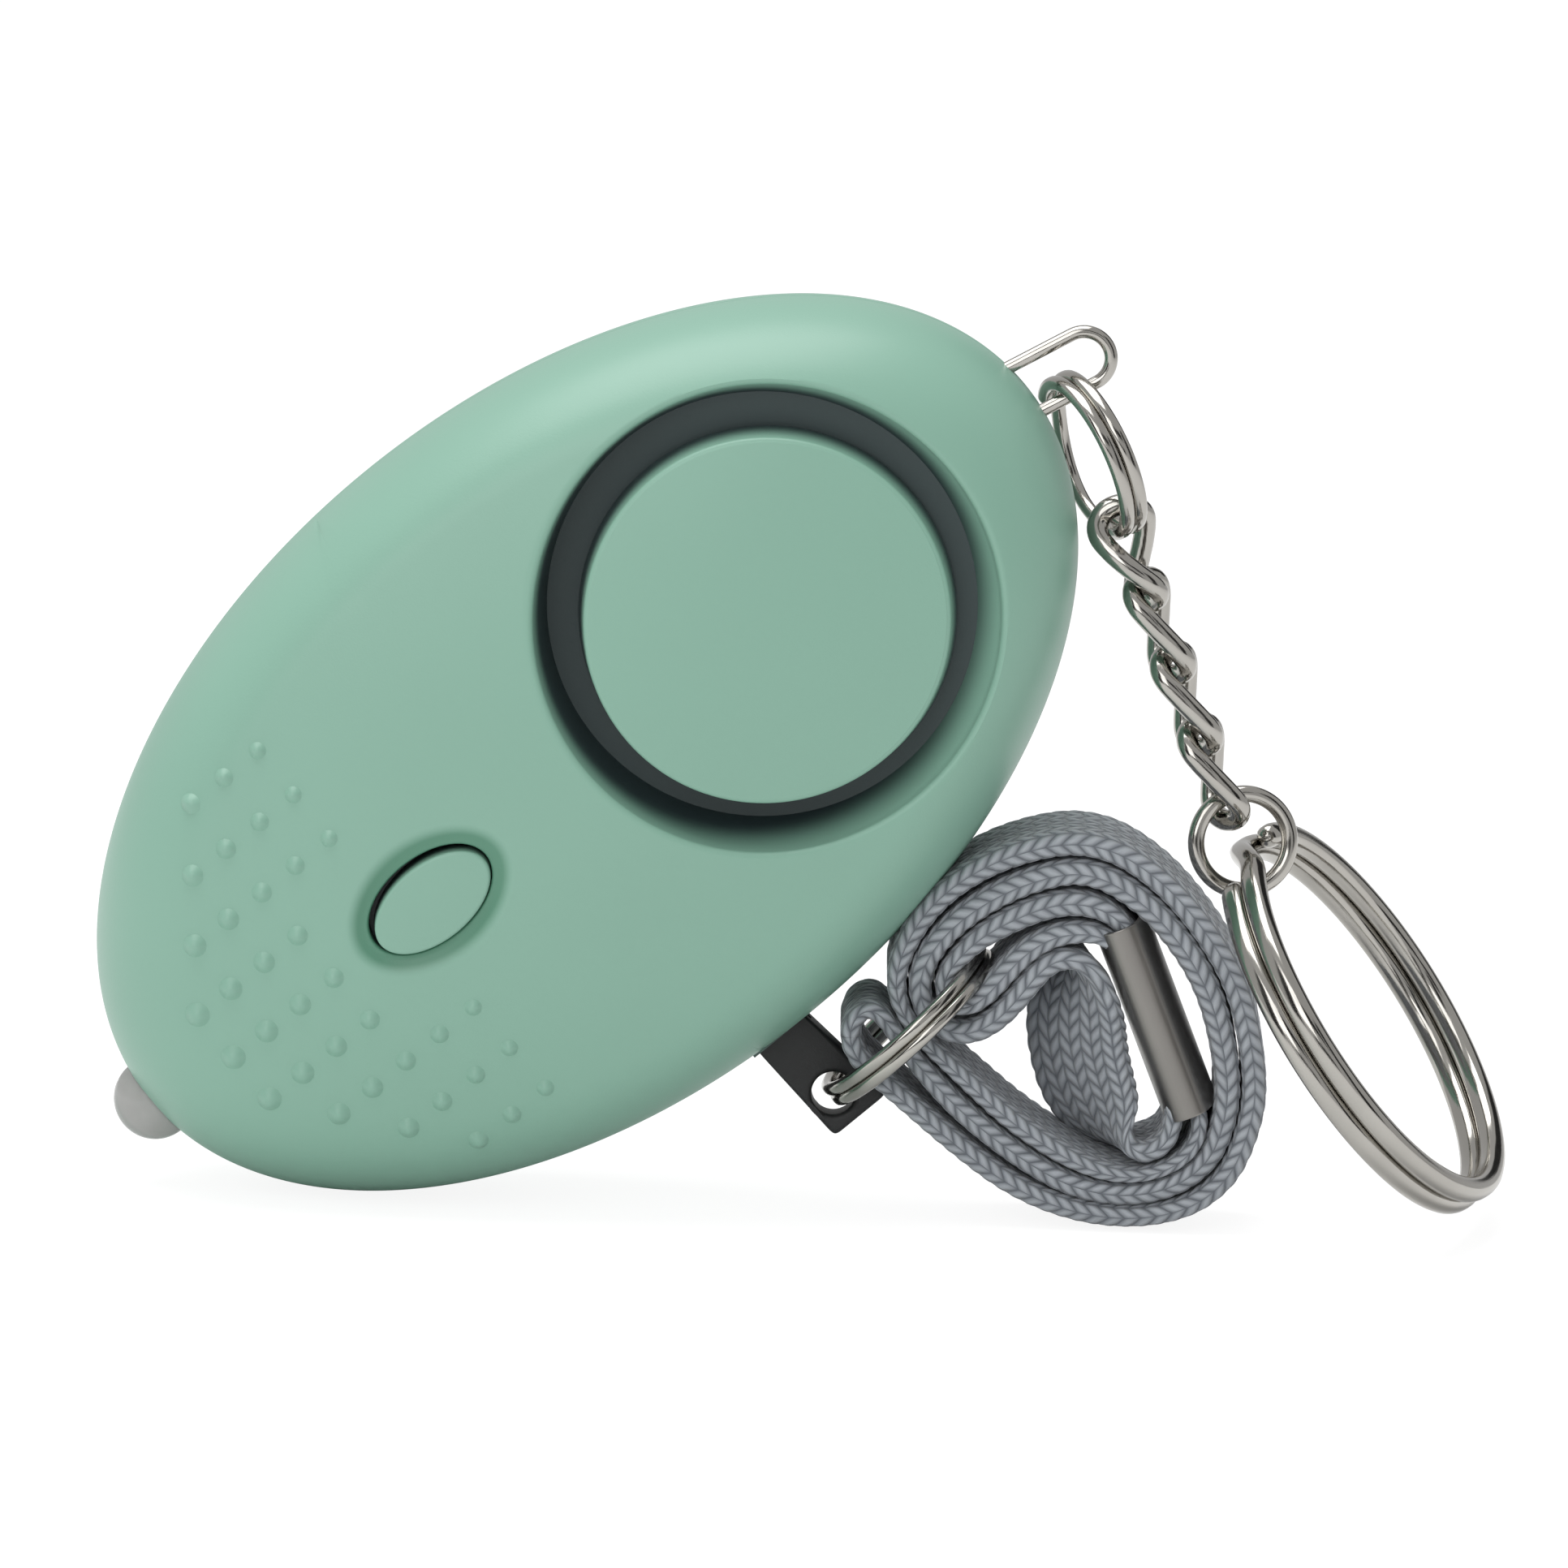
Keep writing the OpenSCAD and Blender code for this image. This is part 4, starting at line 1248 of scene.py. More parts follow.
@dataclass
class Chain:
    """Bail, jump ring, twisted links, end link and key ring, each hung from the one before."""

    bail_foot: Pair = (33.7, -0.25)
    bail_skew: float = -12.0
    bail_half: float = 1.61
    bail_reach: float = 4.1
    bail_wire: float = 0.4
    jump_r: float = 5.3
    jump_wire: float = 0.43
    link_l: float = 7.5
    link_w: float = 4.7
    link_wire: float = 0.65
    end_r: float = 2.9
    end_wire: float = 0.5
    key_r: float = 13.0
    key_wire: float = 0.72
    play: float = 0.25
    first_play: float = 0.45
    hook: float = 0.7
    bail_in: float = -3.0
    bail_hang: float = 2.2
    jump_fall: float = 65.4
    jump_tilt: float = 70.0
    chain_fall: float = 67.5
    first_twist: float = 0.0
    upper_twist: float = 45.0
    lower_twist: float = 135.0
    link_gap: float = 0.2
    links: int = 4
    end_fall: float = 63.0
    end_tilt: float = 15.0
    key_fall: float = 53.0
    key_tilt: float = 77.0

    @staticmethod
    def down(angle: float) -> Array:
        """Direction that falls by an angle toward +X."""
        a = np.radians(angle)
        return np.array([np.cos(a), 0.0, -np.sin(a)])

    @staticmethod
    def tilted(angle: float, tilt: float) -> Array:
        """Direction square to a fall, turned out of the picture by a tilt."""
        a, t = np.radians(angle), np.radians(tilt)
        return np.array([np.sin(a) * np.cos(t), np.sin(t), np.cos(a) * np.cos(t)])

    def bail_points(self, flat: Array) -> Array:
        """Points of the bail's plane in the standing frame.

        Args:
            flat: Points along and across the bail.

        Returns:
            The points in the standing frame.
        """
        s = np.radians(self.bail_skew)
        x = self.bail_foot[0] + flat[:, 0] * np.cos(s) - flat[:, 1] * np.sin(s)
        y = self.bail_foot[1] + flat[:, 0] * np.sin(s) + flat[:, 1] * np.cos(s)
        return FORM.stand(np.stack([x, y, np.zeros(len(flat))], -1))

    def bail(self, metal: Material) -> None:
        """Builds the bail: a foot, a leg, a half circle, the other leg and its foot.

        Args:
            metal: Its finish.
        """
        h = self.bail_half
        t = np.linspace(-np.pi / 2, np.pi / 2, 40)
        foot = self.bail_in
        leg = np.linspace(foot, self.bail_reach, 14)[:-1]
        flat = np.concatenate(
            [
                [[foot, -h - 1.4], [foot, -h - 0.9], [foot, -h - 0.3]],
                np.stack([leg, np.full(13, -h)], -1),
                np.stack([self.bail_reach + h * np.cos(t), h * np.sin(t)], -1),
                np.stack([leg[::-1], np.full(13, h)], -1),
                [[foot, h + 0.3], [foot, h + 0.9], [foot, h + 1.4]],
            ]
        )
        path = self.bail_points(flat)
        sides = np.broadcast_to(np.array([0.0, -1.0, 0.0]), path.shape)
        tube = sweep(path, sides, round_section(self.bail_wire, 18), size=rounded_ends(len(path), 2))
        make_piece("bail_wire", tube, metal, "case", ["bail"], Shading.SOFT)

    def link(self, number: int, centre: Array, metal: Material) -> None:
        """Builds one twisted link.

        A flat oval of wire is turned about the chain's line, evenly from its upper end's twist to its lower
        end's. The first link's upper end has a twist of its own.

        Args:
            number: Number of the link, from 1.
            centre: Its centre.
            metal: Its finish.
        """
        a, b = self.link_l / 2 - self.link_wire, self.link_w / 2 - self.link_wire
        straight = a - b
        t = np.linspace(0, np.pi, 29)[:-1]
        s = np.linspace(1, -1, 15)[:-1]
        flat = np.concatenate(
            [
                np.stack([straight + b * np.sin(t), -b * np.cos(t)], -1),
                np.stack([straight * s, np.full(14, b)], -1),
                np.stack([-straight - b * np.sin(t), b * np.cos(t)], -1),
                np.stack([-straight * s, np.full(14, -b)], -1),
            ]
        )
        line, side = self.down(self.chain_fall), self.tilted(self.chain_fall, 0.0)
        out = np.array([0.0, 1.0, 0.0])
        upper = self.first_twist if number == 1 else self.upper_twist
        turn = np.radians(upper + (self.lower_twist - upper) * (1 + flat[:, :1] / a) / 2)
        path = centre + flat[:, :1] * line + flat[:, 1:] * (side * np.cos(turn) + out * np.sin(turn))
        sides = out * np.cos(turn) - side * np.sin(turn)
        tube = sweep(path, sides, round_section(self.link_wire, 20), closed=True)
        node = f"chain_link_{number}"
        make_piece(f"link_{number}_wire", tube, metal, f"link_{number}", [node], Shading.SOFT)

    def build(self, metal: Material) -> None:
        """Builds the chain from the bail down to the key ring.

        Args:
            metal: Its finish.
        """
        self.bail(metal)
        hang = self.bail_points(np.array([[self.bail_hang, -self.bail_half]]))[0]
        jump_dir, chain_dir = self.down(self.jump_fall), self.down(self.chain_fall)
        jump_mean = self.jump_r - self.jump_wire
        jump_at = hang + jump_dir * (jump_mean - self.jump_wire - self.bail_wire - self.play)
        jump_side = np.array([1.0, -1.0, 1.0]) * self.tilted(self.jump_fall, self.jump_tilt)
        SplitRing(
            "jump_ring_wire", "jump", "jump_ring", jump_at, jump_dir, jump_side, jump_mean, self.jump_wire,
            cut=270.0, step=90.0,
        ).build(metal)
        a = self.link_l / 2 - self.link_wire
        reach = a - self.jump_wire - self.link_wire - self.first_play
        first = jump_at + jump_dir * jump_mean + chain_dir * reach
        step = 2 * a - 2 * self.link_wire - self.link_gap
        for k in range(self.links):
            self.link(k + 1, first + chain_dir * step * k, metal)
        tip = first + chain_dir * ((self.links - 1) * step + a)
        end_dir, end_side = self.down(self.end_fall), self.tilted(self.end_fall, self.end_tilt)
        end_at = tip - chain_dir * (self.link_wire + self.end_wire + self.play) + end_dir * self.end_r
        t = np.linspace(0, 2 * np.pi, 97)[:-1, None]
        loop = end_at + self.end_r * (np.cos(t) * end_dir + np.sin(t) * end_side)
        sides = np.broadcast_to(np.cross(end_dir, end_side), loop.shape)
        tube = sweep(loop, sides, round_section(self.end_wire, 20), closed=True)
        make_piece("end_link_wire", tube, metal, "end", ["end_link"], Shading.SOFT)
        key_mean = self.key_r - self.key_wire
        key_dir, key_side = self.down(self.key_fall), self.tilted(self.key_fall, self.key_tilt)
        key_at = end_at + end_dir * self.hook + key_dir * key_mean
        SplitRing(
            "key_ring_wire", "ring", "key_ring", key_at, key_dir, key_side, key_mean, self.key_wire,
            cut=184.0, step=26.0,
        ).build(metal)


@dataclass
class WristStrap:
    """The coiled wrist strap with its clamp, and the split ring that it hangs on."""

    eye: Array = field(default_factory=lambda: FORM.stand(PullPin().eye))
    width: float = 8.2
    thick: float = 1.6
    squeezed: float = 1.1
    relief: float = 0.1
    clamp_mid: Pair = (19.05, 5.7)
    clamp_tilt: float = 22.7
    clamp_l: float = 12.2
    clamp_half: float = 1.65
    clamp_wall: float = 0.35
    clamp_squareness: float = 2.7
    ring_r: float = 6.15
    ring_wire: float = 0.4
    ring_turn: float = 3.0
    ring_cut: float = 300.0
    steps: int = 16
    section_gap: float = 0.13

    # Guiding points of each stretch: right and up from the pin's eye, the strap's thickness,
    # and its twist in degrees where it has one.
    LOOP = [
        [15.5, 10.85, 1.25], [14.4, 10.95, 1.45], [13, 10.75, 1.5], [11.8, 10.1, 1.5], [10.75, 9.2, 1.5],
        [9.85, 8.1, 1.5], [9.05, 7.1, 1.45], [8.25, 6.35, 1.35], [7.35, 6.05, 1.25], [6.62, 6.45, 1.2],
        [6.32, 7.25, 1.2], [6.55, 8.25, 1.25], [7.25, 9.2, 1.3], [8.2, 10.2, 1.45], [9.4, 11.05, 1.6],
        [10.8, 11.8, 1.65], [12.3, 12.45, 1.65], [13.9, 12.75, 1.65], [15.4, 12.5, 1.5], [16.5, 11.9, 1.25],
    ]
    UNDER = [
        [22.05, -0.4, 1], [21.9, -1.5, 1], [21.2, -2.55, 1], [20.15, -3.25, 1], [18.8, -3.75, 0.95],
        [17.3, -3.85, 1], [15.7, -3.5, 1.15], [14, -2.75, 1.3], [12.3, -1.75, 1.35], [10.6, -0.6, 1.35],
        [9.1, 0.65, 1.3], [7.6, 1.95, 1.2], [6.3, 3.05, 1.1], [5.25, 3.95, 1], [4.4, 5, 1],
        [3.75, 6.1, 1.1], [3.5, 7.2, 1.2],
    ]
    OUTER = [
        [3.55, 8.5, 1.3], [4.2, 10.4, 1.45], [5.5, 12.45, 1.55], [7.5, 14.15, 1.55], [9.8, 15.4, 1.55],
        [12.6, 16.25, 1.55], [14.4, 16.35, 1.55], [16.1, 16, 1.55], [17.5, 15.3, 1.55], [18.8, 14.4, 1.55],
        [20.2, 13.2, 1.55], [22.3, 10.7, 1.55], [24.05, 7.8, 1.55], [24.95, 4.05, 1.5], [25.2, 1.8, 1.5],
        [25.1, 0, 1.5], [24.25, -2.95, 1.45], [23.15, -4.35, 1.4], [21.85, -5.4, 1.4], [19.9, -6.1, 1.4],
        [17.9, -6.33, 1.4], [16, -6.25, 1.4], [14.2, -5.9, 1.4], [12.5, -5.35, 1.4], [10.9, -4.6, 1.4],
        [9.35, -3.65, 1.4], [6.95, -1.85, 1.4], [4.9, -0.2, 1.35], [3.7, 0.75, 1.3],
    ]
    FOLD = [
        [2.75, 1.5, 1.3], [1.85, 2.25, 1.3], [1.15, 3.1, 1.3], [0.85, 4.1, 1.3], [1, 5.05, 1.25],
        [1.6, 5.72, 1.2], [2.35, 5.72, 1.15], [3.05, 5.05, 1.1],
    ]
    INNER = [
        [3.75, 4.05, 1.1], [4.65, 2.9, 1.2], [5.6, 1.85, 1.3], [6.65, 0.75, 1.35], [8, -0.5, 1.4],
        [10.5, -2.4, 1.4], [13.1, -3.95, 1.4], [14.6, -4.55, 1.4], [16.1, -4.9, 1.4], [17.7, -5, 1.4],
        [19.4, -4.75, 1.4], [21, -4.1, 1.4], [22.15, -3.15, 1.4], [22.95, -2.05, 1.45], [23.5, -0.1, 1.55],
        [23.62, 1.8, 1.6], [23.3, 3.9, 1.65], [22.45, 7.2, 1.65], [20.95, 9.85, 1.65], [19.1, 12, 1.65],
        [17.85, 13, 1.65], [16.6, 13.85, 1.65], [15.5, 14.35, 1.65], [14.2, 14.6, 1.65], [12.8, 14.45, 1.65],
        [10.5, 13.65, 1.65], [8.4, 12.45, 1.65], [6.65, 11, 1.6], [5.5, 9.5, 1.55], [4.95, 8.2, 1.5],
        [4.88, 7, 1.4], [5.2, 5.95, 1.3], [5.85, 5.1, 1.3], [6.7, 4.6, 1.4], [7.7, 4.5, 1.5],
        [8.75, 4.8, 1.5], [9.8, 5.6, 1.5], [10.7, 6.65, 1.5], [11.45, 7.7, 1.5], [12.2, 8.65, 1.45],
        [13.1, 9.25, 1.4], [14, 9.25, 1.4],
    ]
    BAND = [
        [14.7, 8.5, 1.4, -10], [14.6, 7.2, 1.45, -30], [14.35, 5.4, 1.5, -43], [14.5, 3.4, 1.5, -43],
        [15.1, 1.2, 1.5, -43], [15.9, -0.5, 1.45, -38],
    ]
    TURN = [
        [16.6, -1.6, 1.4, -24], [17.5, -2.35, 1.35, -8], [18.6, -2.5, 1.3, 0], [19.65, -2.1, 1.25, 0],
        [20.35, -1.2, 1.15, 0],
    ]

    @property
    def clamp_axes(self) -> tuple[Array, Array]:
        """The way down the clamp, and the way across it to the right, in the standing plane."""
        a = np.radians(self.clamp_tilt)
        return np.array([np.sin(a), -np.cos(a)]), np.array([np.cos(a), np.sin(a)])

    def in_clamp(self, layer: int, places: Sequence[float]) -> Array:
        """Guiding points of a ply inside the clamp.

        Args:
            layer: -1 for the left ply and 1 for the right one.
            places: How far down from the clamp's middle each point is.

        Returns:
            The points as right, up and thickness.
        """
        down, across = self.clamp_axes
        flat = np.array(self.clamp_mid) + np.outer(places, down) + layer * 0.55 * self.squeezed * across
        return np.concatenate([flat, np.full((len(flat), 1), self.squeezed)], 1)

    def controls(self) -> tuple[Array, Array]:
        """The strap's guiding points in order, as right, up, thickness and twist.

        Returns:
            The points, and the number of the last point of each run.
        """
        runs = [
            self.in_clamp(-1, [-0.5, -3.0, -5.3]),
            self.LOOP,
            self.in_clamp(1, [-5.2, -2.0, 2.0, 5.2]),
            self.UNDER,
            self.OUTER,
            self.FOLD,
            self.INNER,
            self.BAND,
            self.TURN,
            self.in_clamp(-1, [5.2, 3.0, 0.6]),
        ]
        rows = [np.pad(np.array(run, float), ((0, 0), (0, 4 - len(run[0])))) for run in runs]
        return np.concatenate(rows), np.cumsum([len(row) for row in rows]) - 1

    @staticmethod
    def spline(points: Array, steps: int) -> Array:
        """A smooth curve in which each four neighbours blend by the cubic B-spline weights.

        Args:
            points: The guiding points.
            steps: Points of the curve for each.

        Returns:
            The curve, steps to each span.
        """
        p = np.concatenate([2 * points[:1] - points[1:2], points, 2 * points[-1:] - points[-2:-1]])
        u = (np.arange(steps) / steps)[None, :, None]
        a, b, c, d = (p[k : len(p) - 3 + k][:, None] for k in range(4))
        second = 3 * u**3 - 6 * u**2 + 4
        third = 1 + 3 * u + 3 * u**2 - 3 * u**3
        curve = ((1 - u) ** 3 * a + second * b + third * c + u**3 * d) / 6
        return np.concatenate([curve.reshape(-1, points.shape[1]), points[-1:]])

    def section(self, sides: int = 56) -> tuple[Array, Array]:
        """The strap's section: two flats joined by half circles, from the middle of its front edge.

        Args:
            sides: Points round it, spread evenly by length.

        Returns:
            The points across the width and the thickness, and their places round it, in millimetres.
        """
        r, flat = self.thick / 2, self.width - self.thick
        t = np.linspace(0, 1, 2000)
        whole = 2 * flat + 2 * np.pi * r
        s = t * whole
        arc = np.pi * r
        at = np.array([0, arc / 2, arc / 2 + flat, 1.5 * arc + flat, 1.5 * arc + 2 * flat, whole])
        part = np.clip(np.searchsorted(at, s, side="right") - 1, 0, 4)
        local = s - at[part]
        angle = np.select(
            [part == 0, part == 2, part == 4],
            [local / r, np.pi / 2 + local / r, -np.pi / 2 + local / r],
            0.0,
        )
        x = np.select(
            [part == 0, part == 1, part == 2, part == 3],
            [
                -flat / 2 - r * np.cos(angle),
                -flat / 2 + local,
                flat / 2 - r * np.cos(angle),
                flat / 2 - local,
            ],
            -flat / 2 - r * np.cos(angle),
        )
        y = np.select([part == 1, part == 3], [r, -r], r * np.sin(angle))
        place = np.linspace(0, whole, sides + 1)
        return np.stack([np.interp(place, s, x), np.interp(place, s, y)], -1)[:-1], place

    def ribbon(self, curve: Array, start: float) -> tuple[Surface, Array]:
        """The strap along part of its curve.

        The section is set square to the curve in the standing plane, turned by the twist, and raised along
        its own outline by the braid's relief.

        Args:
            curve: Right, up, thickness and twist of each section.
            start: Length of strap before the first section.

        Returns:
            The sheet with UVs in millimetres, and its centre line in the standing frame.
        """
        length = np.linalg.norm(np.diff(curve[:, :2], axis=0), axis=1)
        along = start + np.concatenate([[0], np.cumsum(length)])
        count = max(24, int((along[-1] - along[0]) / self.section_gap))
        even = np.linspace(along[0], along[-1], count)
        curve = np.stack([np.interp(even, along, curve[:, k]) for k in range(4)], -1)
        t = unit(np.gradient(curve[:, :2], axis=0))
        normal = np.stack([-t[:, 1], t[:, 0]], -1)
        section, place = self.section()
        out = unit(np.roll(section, -1, 0) - np.roll(section, 1, 0))
        out = np.stack([-out[:, 1], out[:, 0]], -1)
        out *= np.sign((out * section).sum(1))[:, None]
        rise = self.relief * (BRAID.relief(even[:, None], place[None, :-1]) - 1.0)
        wide = section[None, :, 0] + rise * out[None, :, 0]
        deep = (section[None, :, 1] + rise * out[None, :, 1]) * (curve[:, 2] / self.thick)[:, None]
        w = np.radians(curve[:, 3])[:, None]
        in_plane = wide * np.sin(w) + deep * np.cos(w)
        depth = wide * np.cos(w) - deep * np.sin(w)
        flat = curve[:, None, :2] + normal[:, None] * in_plane[..., None]
        points = np.stack([self.eye[0] + flat[..., 0], depth, self.eye[2] + flat[..., 1]], -1)
        line = np.stack([self.eye[0] + curve[:, 0], np.zeros(len(curve)), self.eye[2] + curve[:, 1]], -1)
        ends = [np.broadcast_to(line[k], (1, points.shape[1], 3)) for k in (0, -1)]
        whole = np.concatenate([ends[0], points, ends[1]])
        u = np.concatenate([even[:1], even, even[-1:]])
        return grid(whole, wrap_cols=True, u=u, v=place), line

    def clamp(self, metal: Material) -> bpy.types.Object:
        """Builds the clamp: a flattened tube of sheet with round sides, open at its top and bottom.

        Args:
            metal: Its finish.

        Returns:
            The clamp.
        """
        half = np.array([self.clamp_half, self.width / 2 + 0.1 + self.clamp_wall])
        ring = round_section(1.0, 72, self.clamp_squareness)
        rows = np.array(
            [
                [0.0, 0.49], [0.0, 0.497], [0.06, 0.5], [0.9, 0.5], [1.0, 0.497],
                [1.0, -0.497], [0.9, -0.5], [0.06, -0.5], [0.0, -0.497], [0.0, -0.49],
            ]
        )
        down, right = self.clamp_axes
        across = np.array([right[0], 0.0, right[1]])
        line = np.array([down[0], 0.0, down[1]])
        centre = self.eye + np.array([self.clamp_mid[0], 0.0, self.clamp_mid[1]])
        size = half[None] - (rows[:, 0] * self.clamp_wall)[:, None]
        flat = ring[None] * size[:, None]
        points = (
            centre
            + flat[..., :1] * across
            + flat[..., 1:] * np.array([0.0, 1.0, 0.0])
            + (rows[:, 1] * self.clamp_l)[:, None, None] * line
        )
        u, v = np.linspace(0, 12, 11), np.linspace(0, 22, 73)
        sheet = grid(points, wrap_rows=True, wrap_cols=True, u=u, v=v)
        return make_piece("strap_clamp", sheet, metal, "strap", ["strap_crimp"])

    def build(self, braid: Material, metal: Material, wire: Material) -> None:
        """Builds the strap as three runs and adds the clamp and the ring.

        The first run goes round the pin's ring and on through the clamp, the second goes round the coil to
        its folded end, and the third comes back beside it, down the twisted band and into the clamp.

        Args:
            braid: The strap's finish.
            metal: The clamp's finish.
            wire: The ring's finish.
        """
        points, last = self.controls()
        curve = self.spline(points, self.steps)
        spans = np.linalg.norm(np.diff(curve[:, :2], axis=0), axis=1)
        lengths = np.concatenate([[0], np.cumsum(spans)])
        LOG.info("strap is %.1f mm long", lengths[-1])
        clamp = self.clamp(metal)
        cuts = [0, last[3] * self.steps, (last[4] + 4) * self.steps, len(curve) - 1]
        runs = (
            ("strap_ring_run", ["wrist_strap"], "object", []),
            ("strap_outer_run", [], "object", []),
            ("strap_inner_run", [], "fitting", [clamp]),
        )
        for (name, stands_for, end, others), start, stop in zip(runs, cuts, cuts[1:]):
            sheet, line = self.ribbon(curve[start : stop + 1], lengths[start])
            piece = make_piece(name, sheet, braid, "strap", stands_for, Shading.SOFT)
        turn = np.radians(self.ring_turn)
        local = np.array([[np.cos(turn), np.sin(turn), 0.0], [0.0, 0.0, 1.0]])
        origin = FORM.stand(np.zeros(3))
        along, side = (FORM.stand(v) - origin for v in local)
        centre = self.eye + self.ring_r * along
        SplitRing(
            "pin_ring_wire", "strap", "pin_ring", centre, along, side, self.ring_r, self.ring_wire,
            cut=self.ring_cut,
        ).build(wire)


@dataclass
class Studio:
    """Camera, floor, soft lamps and the cards that the metal mirrors."""

    elevation: float = 10.5
    roll: float = 2.2
    frame_width: float = 93.79
    lens: float = 300.0
    aim: Triple = (-1.74, 0.0, 25.6)
    sensor: float = 36.0
    world_light: float = 0.55
    floor_glow: float = 1.14
    floor_share: float = 0.78
    floor_drop: float = 0.0002

    def camera(self) -> None:
        """Places the camera: it looks along +Y from above, rolled so that the table falls to the right."""
        e, r = np.radians(self.elevation), np.radians(self.roll)
        back = Vector((0.0, -np.cos(e), np.sin(e)))
        level, upright = Vector((1.0, 0.0, 0.0)), Vector((0.0, np.sin(e), np.cos(e)))
        right = np.cos(r) * level + np.sin(r) * upright
        up = np.cos(r) * upright - np.sin(r) * level
        data = bpy.data.cameras.new("photo_camera")
        data.lens, data.sensor_width = self.lens, self.sensor
        data.clip_start, data.clip_end = 0.05, 20.0
        camera = bpy.data.objects.new("photo_camera", data)
        distance = self.frame_width / self.sensor * self.lens * MM
        place = Matrix((right, up, back)).transposed().to_4x4()
        place.translation = Vector(self.aim) * MM + back * distance
        camera.matrix_world = place
        bpy.context.scene.collection.objects.link(camera)
        bpy.context.scene.camera = camera

    @staticmethod
    def seen_white(tree: bpy.types.NodeTree) -> NodeSocket:
        """1 for a ray from the camera or through clear plastic, and 0 for the rest.

        Args:
            tree: The nodes that ask for it.

        Returns:
            The value's socket.
        """
        path, either = tree.nodes.new("ShaderNodeLightPath"), tree.nodes.new("ShaderNodeMath")
        either.operation = "MAXIMUM"
        tree.links.new(path.outputs["Is Camera Ray"], either.inputs[0])
        tree.links.new(path.outputs["Is Transmission Ray"], either.inputs[1])
        return either.outputs[0]

    def world(self) -> None:
        """Sets the world: an even grey that lights the object, and plain white where it is seen."""
        world = bpy.data.worlds.new("studio_world")
        bpy.context.scene.world = world
        world.use_nodes = True
        tree = world.node_tree
        tree.nodes.clear()
        output, mix = tree.nodes.new("ShaderNodeOutputWorld"), tree.nodes.new("ShaderNodeMixShader")
        light, white = (tree.nodes.new("ShaderNodeBackground") for _ in range(2))
        light.inputs["Strength"].default_value = self.world_light
        light.inputs["Color"].default_value = (1.0, 1.0, 1.0, 1.0)
        white.inputs["Color"].default_value = (1.0, 1.0, 1.0, 1.0)
        tree.links.new(self.seen_white(tree), mix.inputs[0])
        tree.links.new(light.outputs[0], mix.inputs[1])
        tree.links.new(white.outputs[0], mix.inputs[2])
        tree.links.new(mix.outputs[0], output.inputs["Surface"])

    def floor(self) -> None:
        """Lays the pale floor, which mostly glows white where it is seen and keeps its shadow."""
        material = bpy.data.materials.new("floor")
        material.use_nodes = True
        tree = material.node_tree
        tree.nodes.clear()
        output, mix = tree.nodes.new("ShaderNodeOutputMaterial"), tree.nodes.new("ShaderNodeMixShader")
        matt, glow = tree.nodes.new("ShaderNodeBsdfDiffuse"), tree.nodes.new("ShaderNodeEmission")
        matt.inputs["Color"].default_value = (0.9, 0.9, 0.9, 1.0)
        glow.inputs["Color"].default_value = (1.0, 1.0, 1.0, 1.0)
        glow.inputs["Strength"].default_value = self.floor_glow
        share = tree.nodes.new("ShaderNodeMath")
        share.operation = "MULTIPLY"
        share.inputs[1].default_value = self.floor_share
        tree.links.new(self.seen_white(tree), share.inputs[0])
        tree.links.new(share.outputs[0], mix.inputs[0])
        tree.links.new(matt.outputs[0], mix.inputs[1])
        tree.links.new(glow.outputs[0], mix.inputs[2])
        tree.links.new(mix.outputs[0], output.inputs["Surface"])
        self.sheet("floor", (0.0, 0.0, -self.floor_drop), (6.0, 6.0), (0.0, 0.0, 1.0), material)

    @staticmethod
    def sheet(
        name: str,
        at: Triple,
        size: Pair,
        facing: Triple,
        material: Material,
    ) -> bpy.types.Object:
        """Makes a flat sheet that isn't part of the object.

        Args:
            name: Its name.
            at: Its middle, in metres.
            size: Its two sides, in metres.
            facing: The way it faces.
            material: Its finish.

        Returns:
            The sheet.
        """
        turn = Vector(facing).to_track_quat("Z", "Y").to_matrix()
        half = np.array([size[0] / 2, size[1] / 2, 1.0])
        corners = np.array([[-1, -1, 0], [1, -1, 0], [1, 1, 0], [-1, 1, 0]]) * half
        mesh = bpy.data.meshes.new(name)
        mesh.from_pydata((corners @ np.array(turn).T + np.array(at)).tolist(), [], [(0, 1, 2, 3)])
        mesh.materials.append(material)
        piece = bpy.data.objects.new(name, mesh)
        bpy.context.scene.collection.objects.link(piece)
        return piece

    @staticmethod
    def lamp(name: str, at: Triple, size: float, power: float) -> None:
        """Hangs a soft square lamp that faces the object.

        Args:
            name: Its name.
            at: Its place, in metres.
            size: Its side, in metres.
            power: Its power, in watts.
        """
        data = bpy.data.lights.new(name, "AREA")
        data.shape, data.size, data.energy = "SQUARE", size, power
        lamp = bpy.data.objects.new(name, data)
        lamp.location = at
        away = Vector(at) - Vector((0.0, 0.0, 0.025))
        lamp.rotation_euler = away.to_track_quat("Z", "Y").to_euler()
        bpy.context.scene.collection.objects.link(lamp)

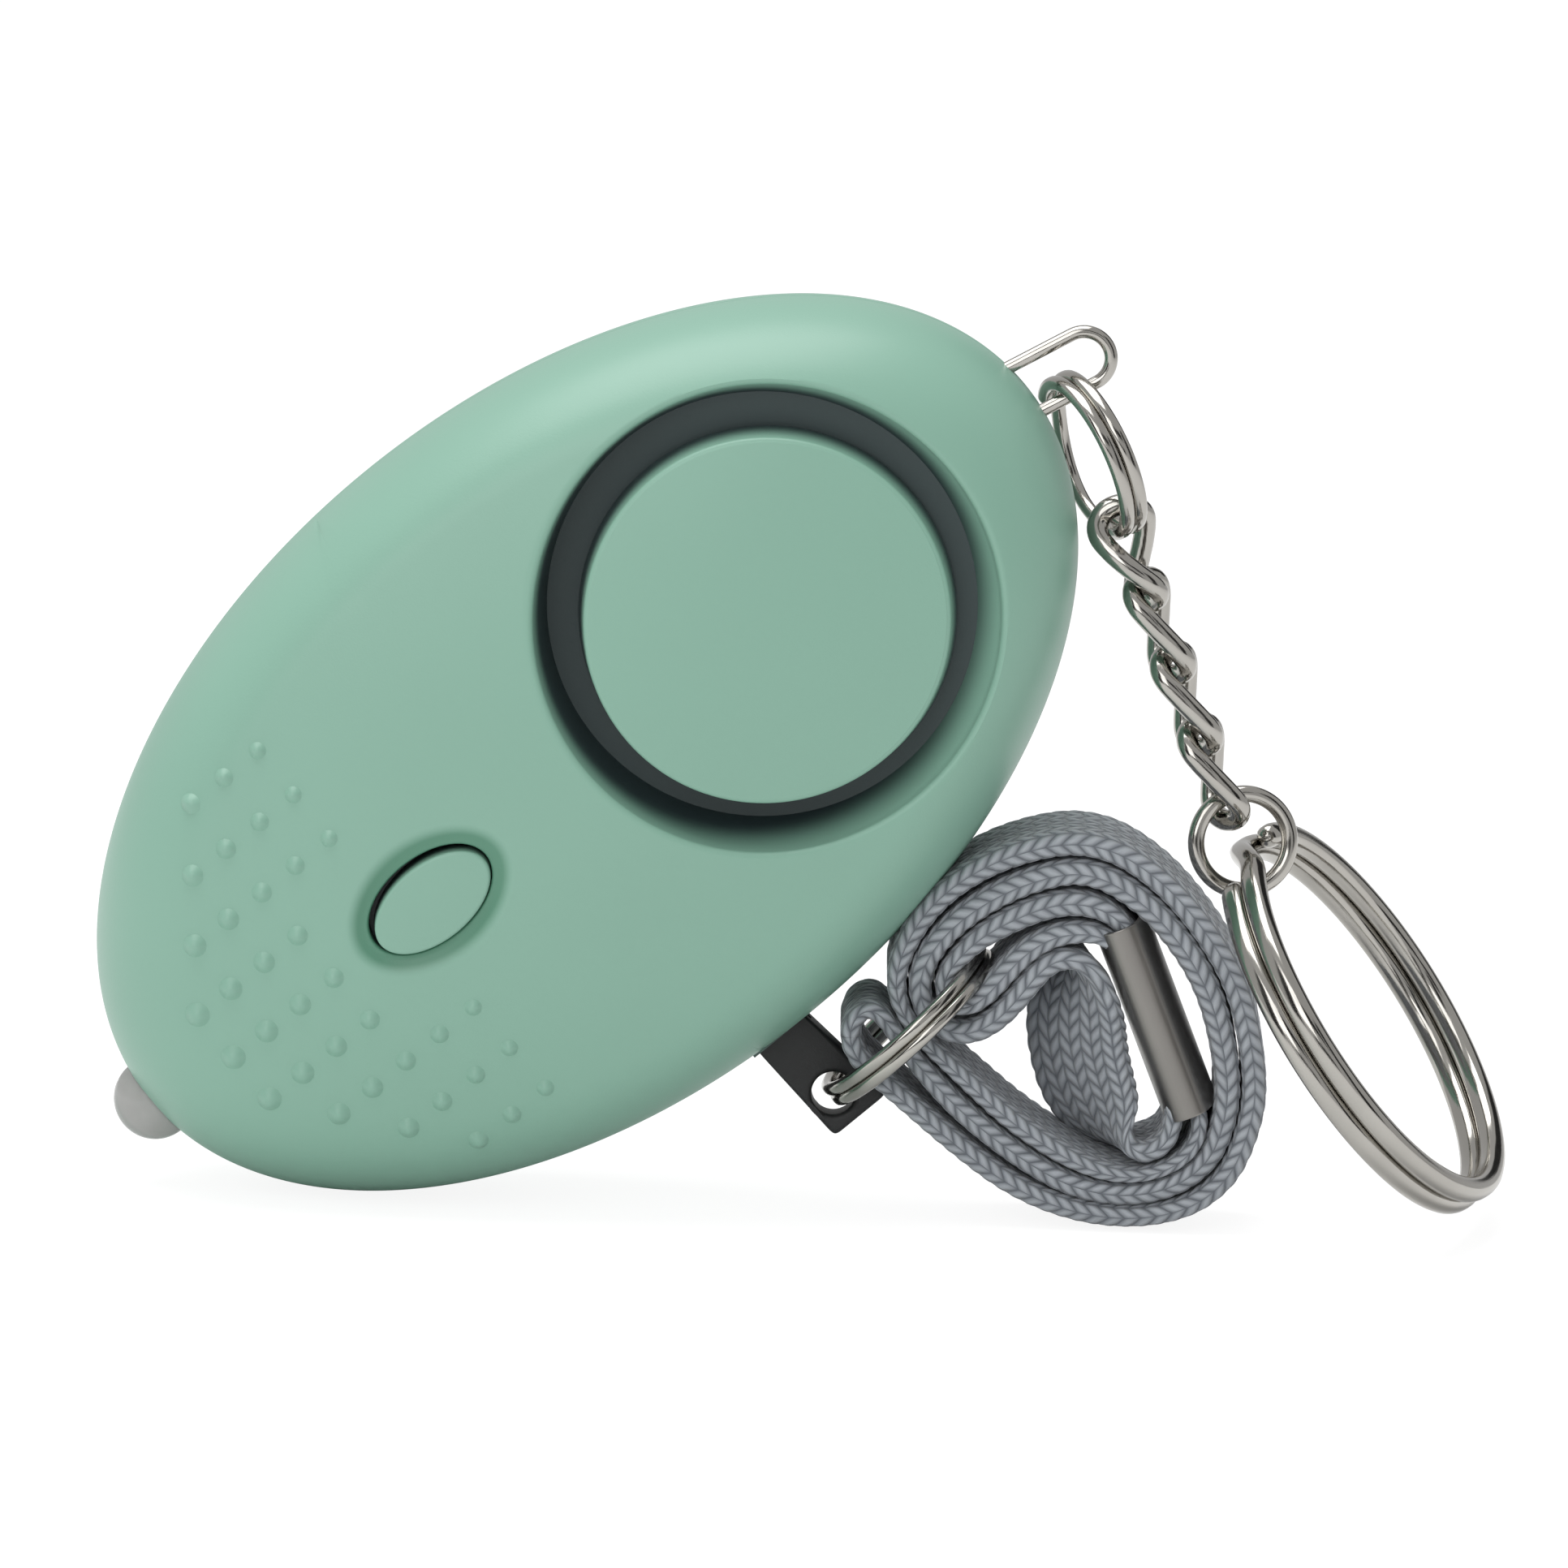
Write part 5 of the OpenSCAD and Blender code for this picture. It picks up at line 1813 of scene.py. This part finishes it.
    def cards(self) -> None:
        """Stands dark cards that only mirrors see, so that bright wire shows its shape."""
        material = bpy.data.materials.new("card")
        material.use_nodes = True
        shader = material.node_tree.nodes["Principled BSDF"]
        shader.inputs["Base Color"].default_value = (0.02, 0.02, 0.02, 1.0)
        shader.inputs["Roughness"].default_value = 1.0
        spots = (
            ((-0.42, -0.42, 0.16), (0.22, 0.7), (0.7, 0.7, 0.0)),
            ((0.5, -0.3, 0.16), (0.24, 0.7), (-0.8, 0.5, 0.0)),
            ((0.1, -0.75, 0.5), (0.9, 0.2), (0.0, 0.8, -0.6)),
            ((0.0, -0.8, 0.05), (0.5, 0.16), (0.0, 1.0, 0.0)),
            ((0.35, 0.45, 0.3), (0.3, 0.4), (-0.6, -0.8, -0.4)),
        )
        for number, (at, size, facing) in enumerate(spots):
            card = self.sheet(f"card_{number}", at, size, facing, material)
            for ray in ("camera", "diffuse", "shadow", "transmission"):
                setattr(card, f"visible_{ray}", False)

    def build(self) -> None:
        """Sets up the whole studio."""
        scene = bpy.context.scene
        scene.view_settings.view_transform = "Standard"
        self.camera()
        self.world()
        self.floor()
        self.lamp("top_lamp", (-0.12, 0.02, 0.6), 0.5, 2.6)
        self.lamp("front_lamp", (-0.25, -0.6, 0.35), 0.45, 1.3)
        self.cards()


def dress_inner_parts() -> None:
    """Gives each CAD part that stays its own finish."""
    finishes = {
        Speckled("brass", srgb(190, 150, 80), 0.35, 1.0): ("piezo_plate", "pin_contacts"),
        Speckled("white_ceramic", srgb(225, 222, 214), 0.6): ("piezo_ceramic",),
        Speckled("board_green", srgb(28, 84, 48), 0.45): ("circuit_board",),
        Speckled("component_black", srgb(36, 36, 38), 0.5): ("inductor", "driver_chip"),
        Speckled("component_blue", srgb(58, 92, 140), 0.4): ("capacitor",),
        Speckled("wire_red", srgb(170, 32, 30), 0.45): ("piezo_leads",),
        Speckled("bright_steel", srgb(196, 196, 194), 0.3, 1.0): (
            "battery_cells", "battery_contacts", "case_screws", "lamp_leads", "switch_body",
        ),
        # The horn ring's colour is partly its own dark and partly painted shade at the well's floor.
        DARK_AND_SHADE: ("horn_ring",),
        BLACK: ("switch_plunger",),
    }
    for finish, names in finishes.items():
        material = finish.material()
        for name in names:
            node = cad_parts[name]
            node.data.materials.clear()
            node.data.materials.append(material)
            LOG.info("%s: CAD part in %s", name, finish.name)


def main() -> None:
    """Builds the studio, the strap and then each sub-assembly."""
    logging.basicConfig(level=logging.INFO, format="%(message)s")
    Studio().build()
    nickel = NICKEL.material()
    WristStrap().build(BRAID.material(), CLAMP_METAL.material(), nickel)
    mint = MINT.material()
    FrontShell().build(mint)
    RearShell().build(mint)
    Sounder().build(mint)
    TorchButton().build(mint)
    TorchLamp().build(ClearLens().material())
    PullPin().build(BLACK.material())
    Chain().build(nickel)
    dress_inner_parts()


if __name__ == "__main__":
    main()
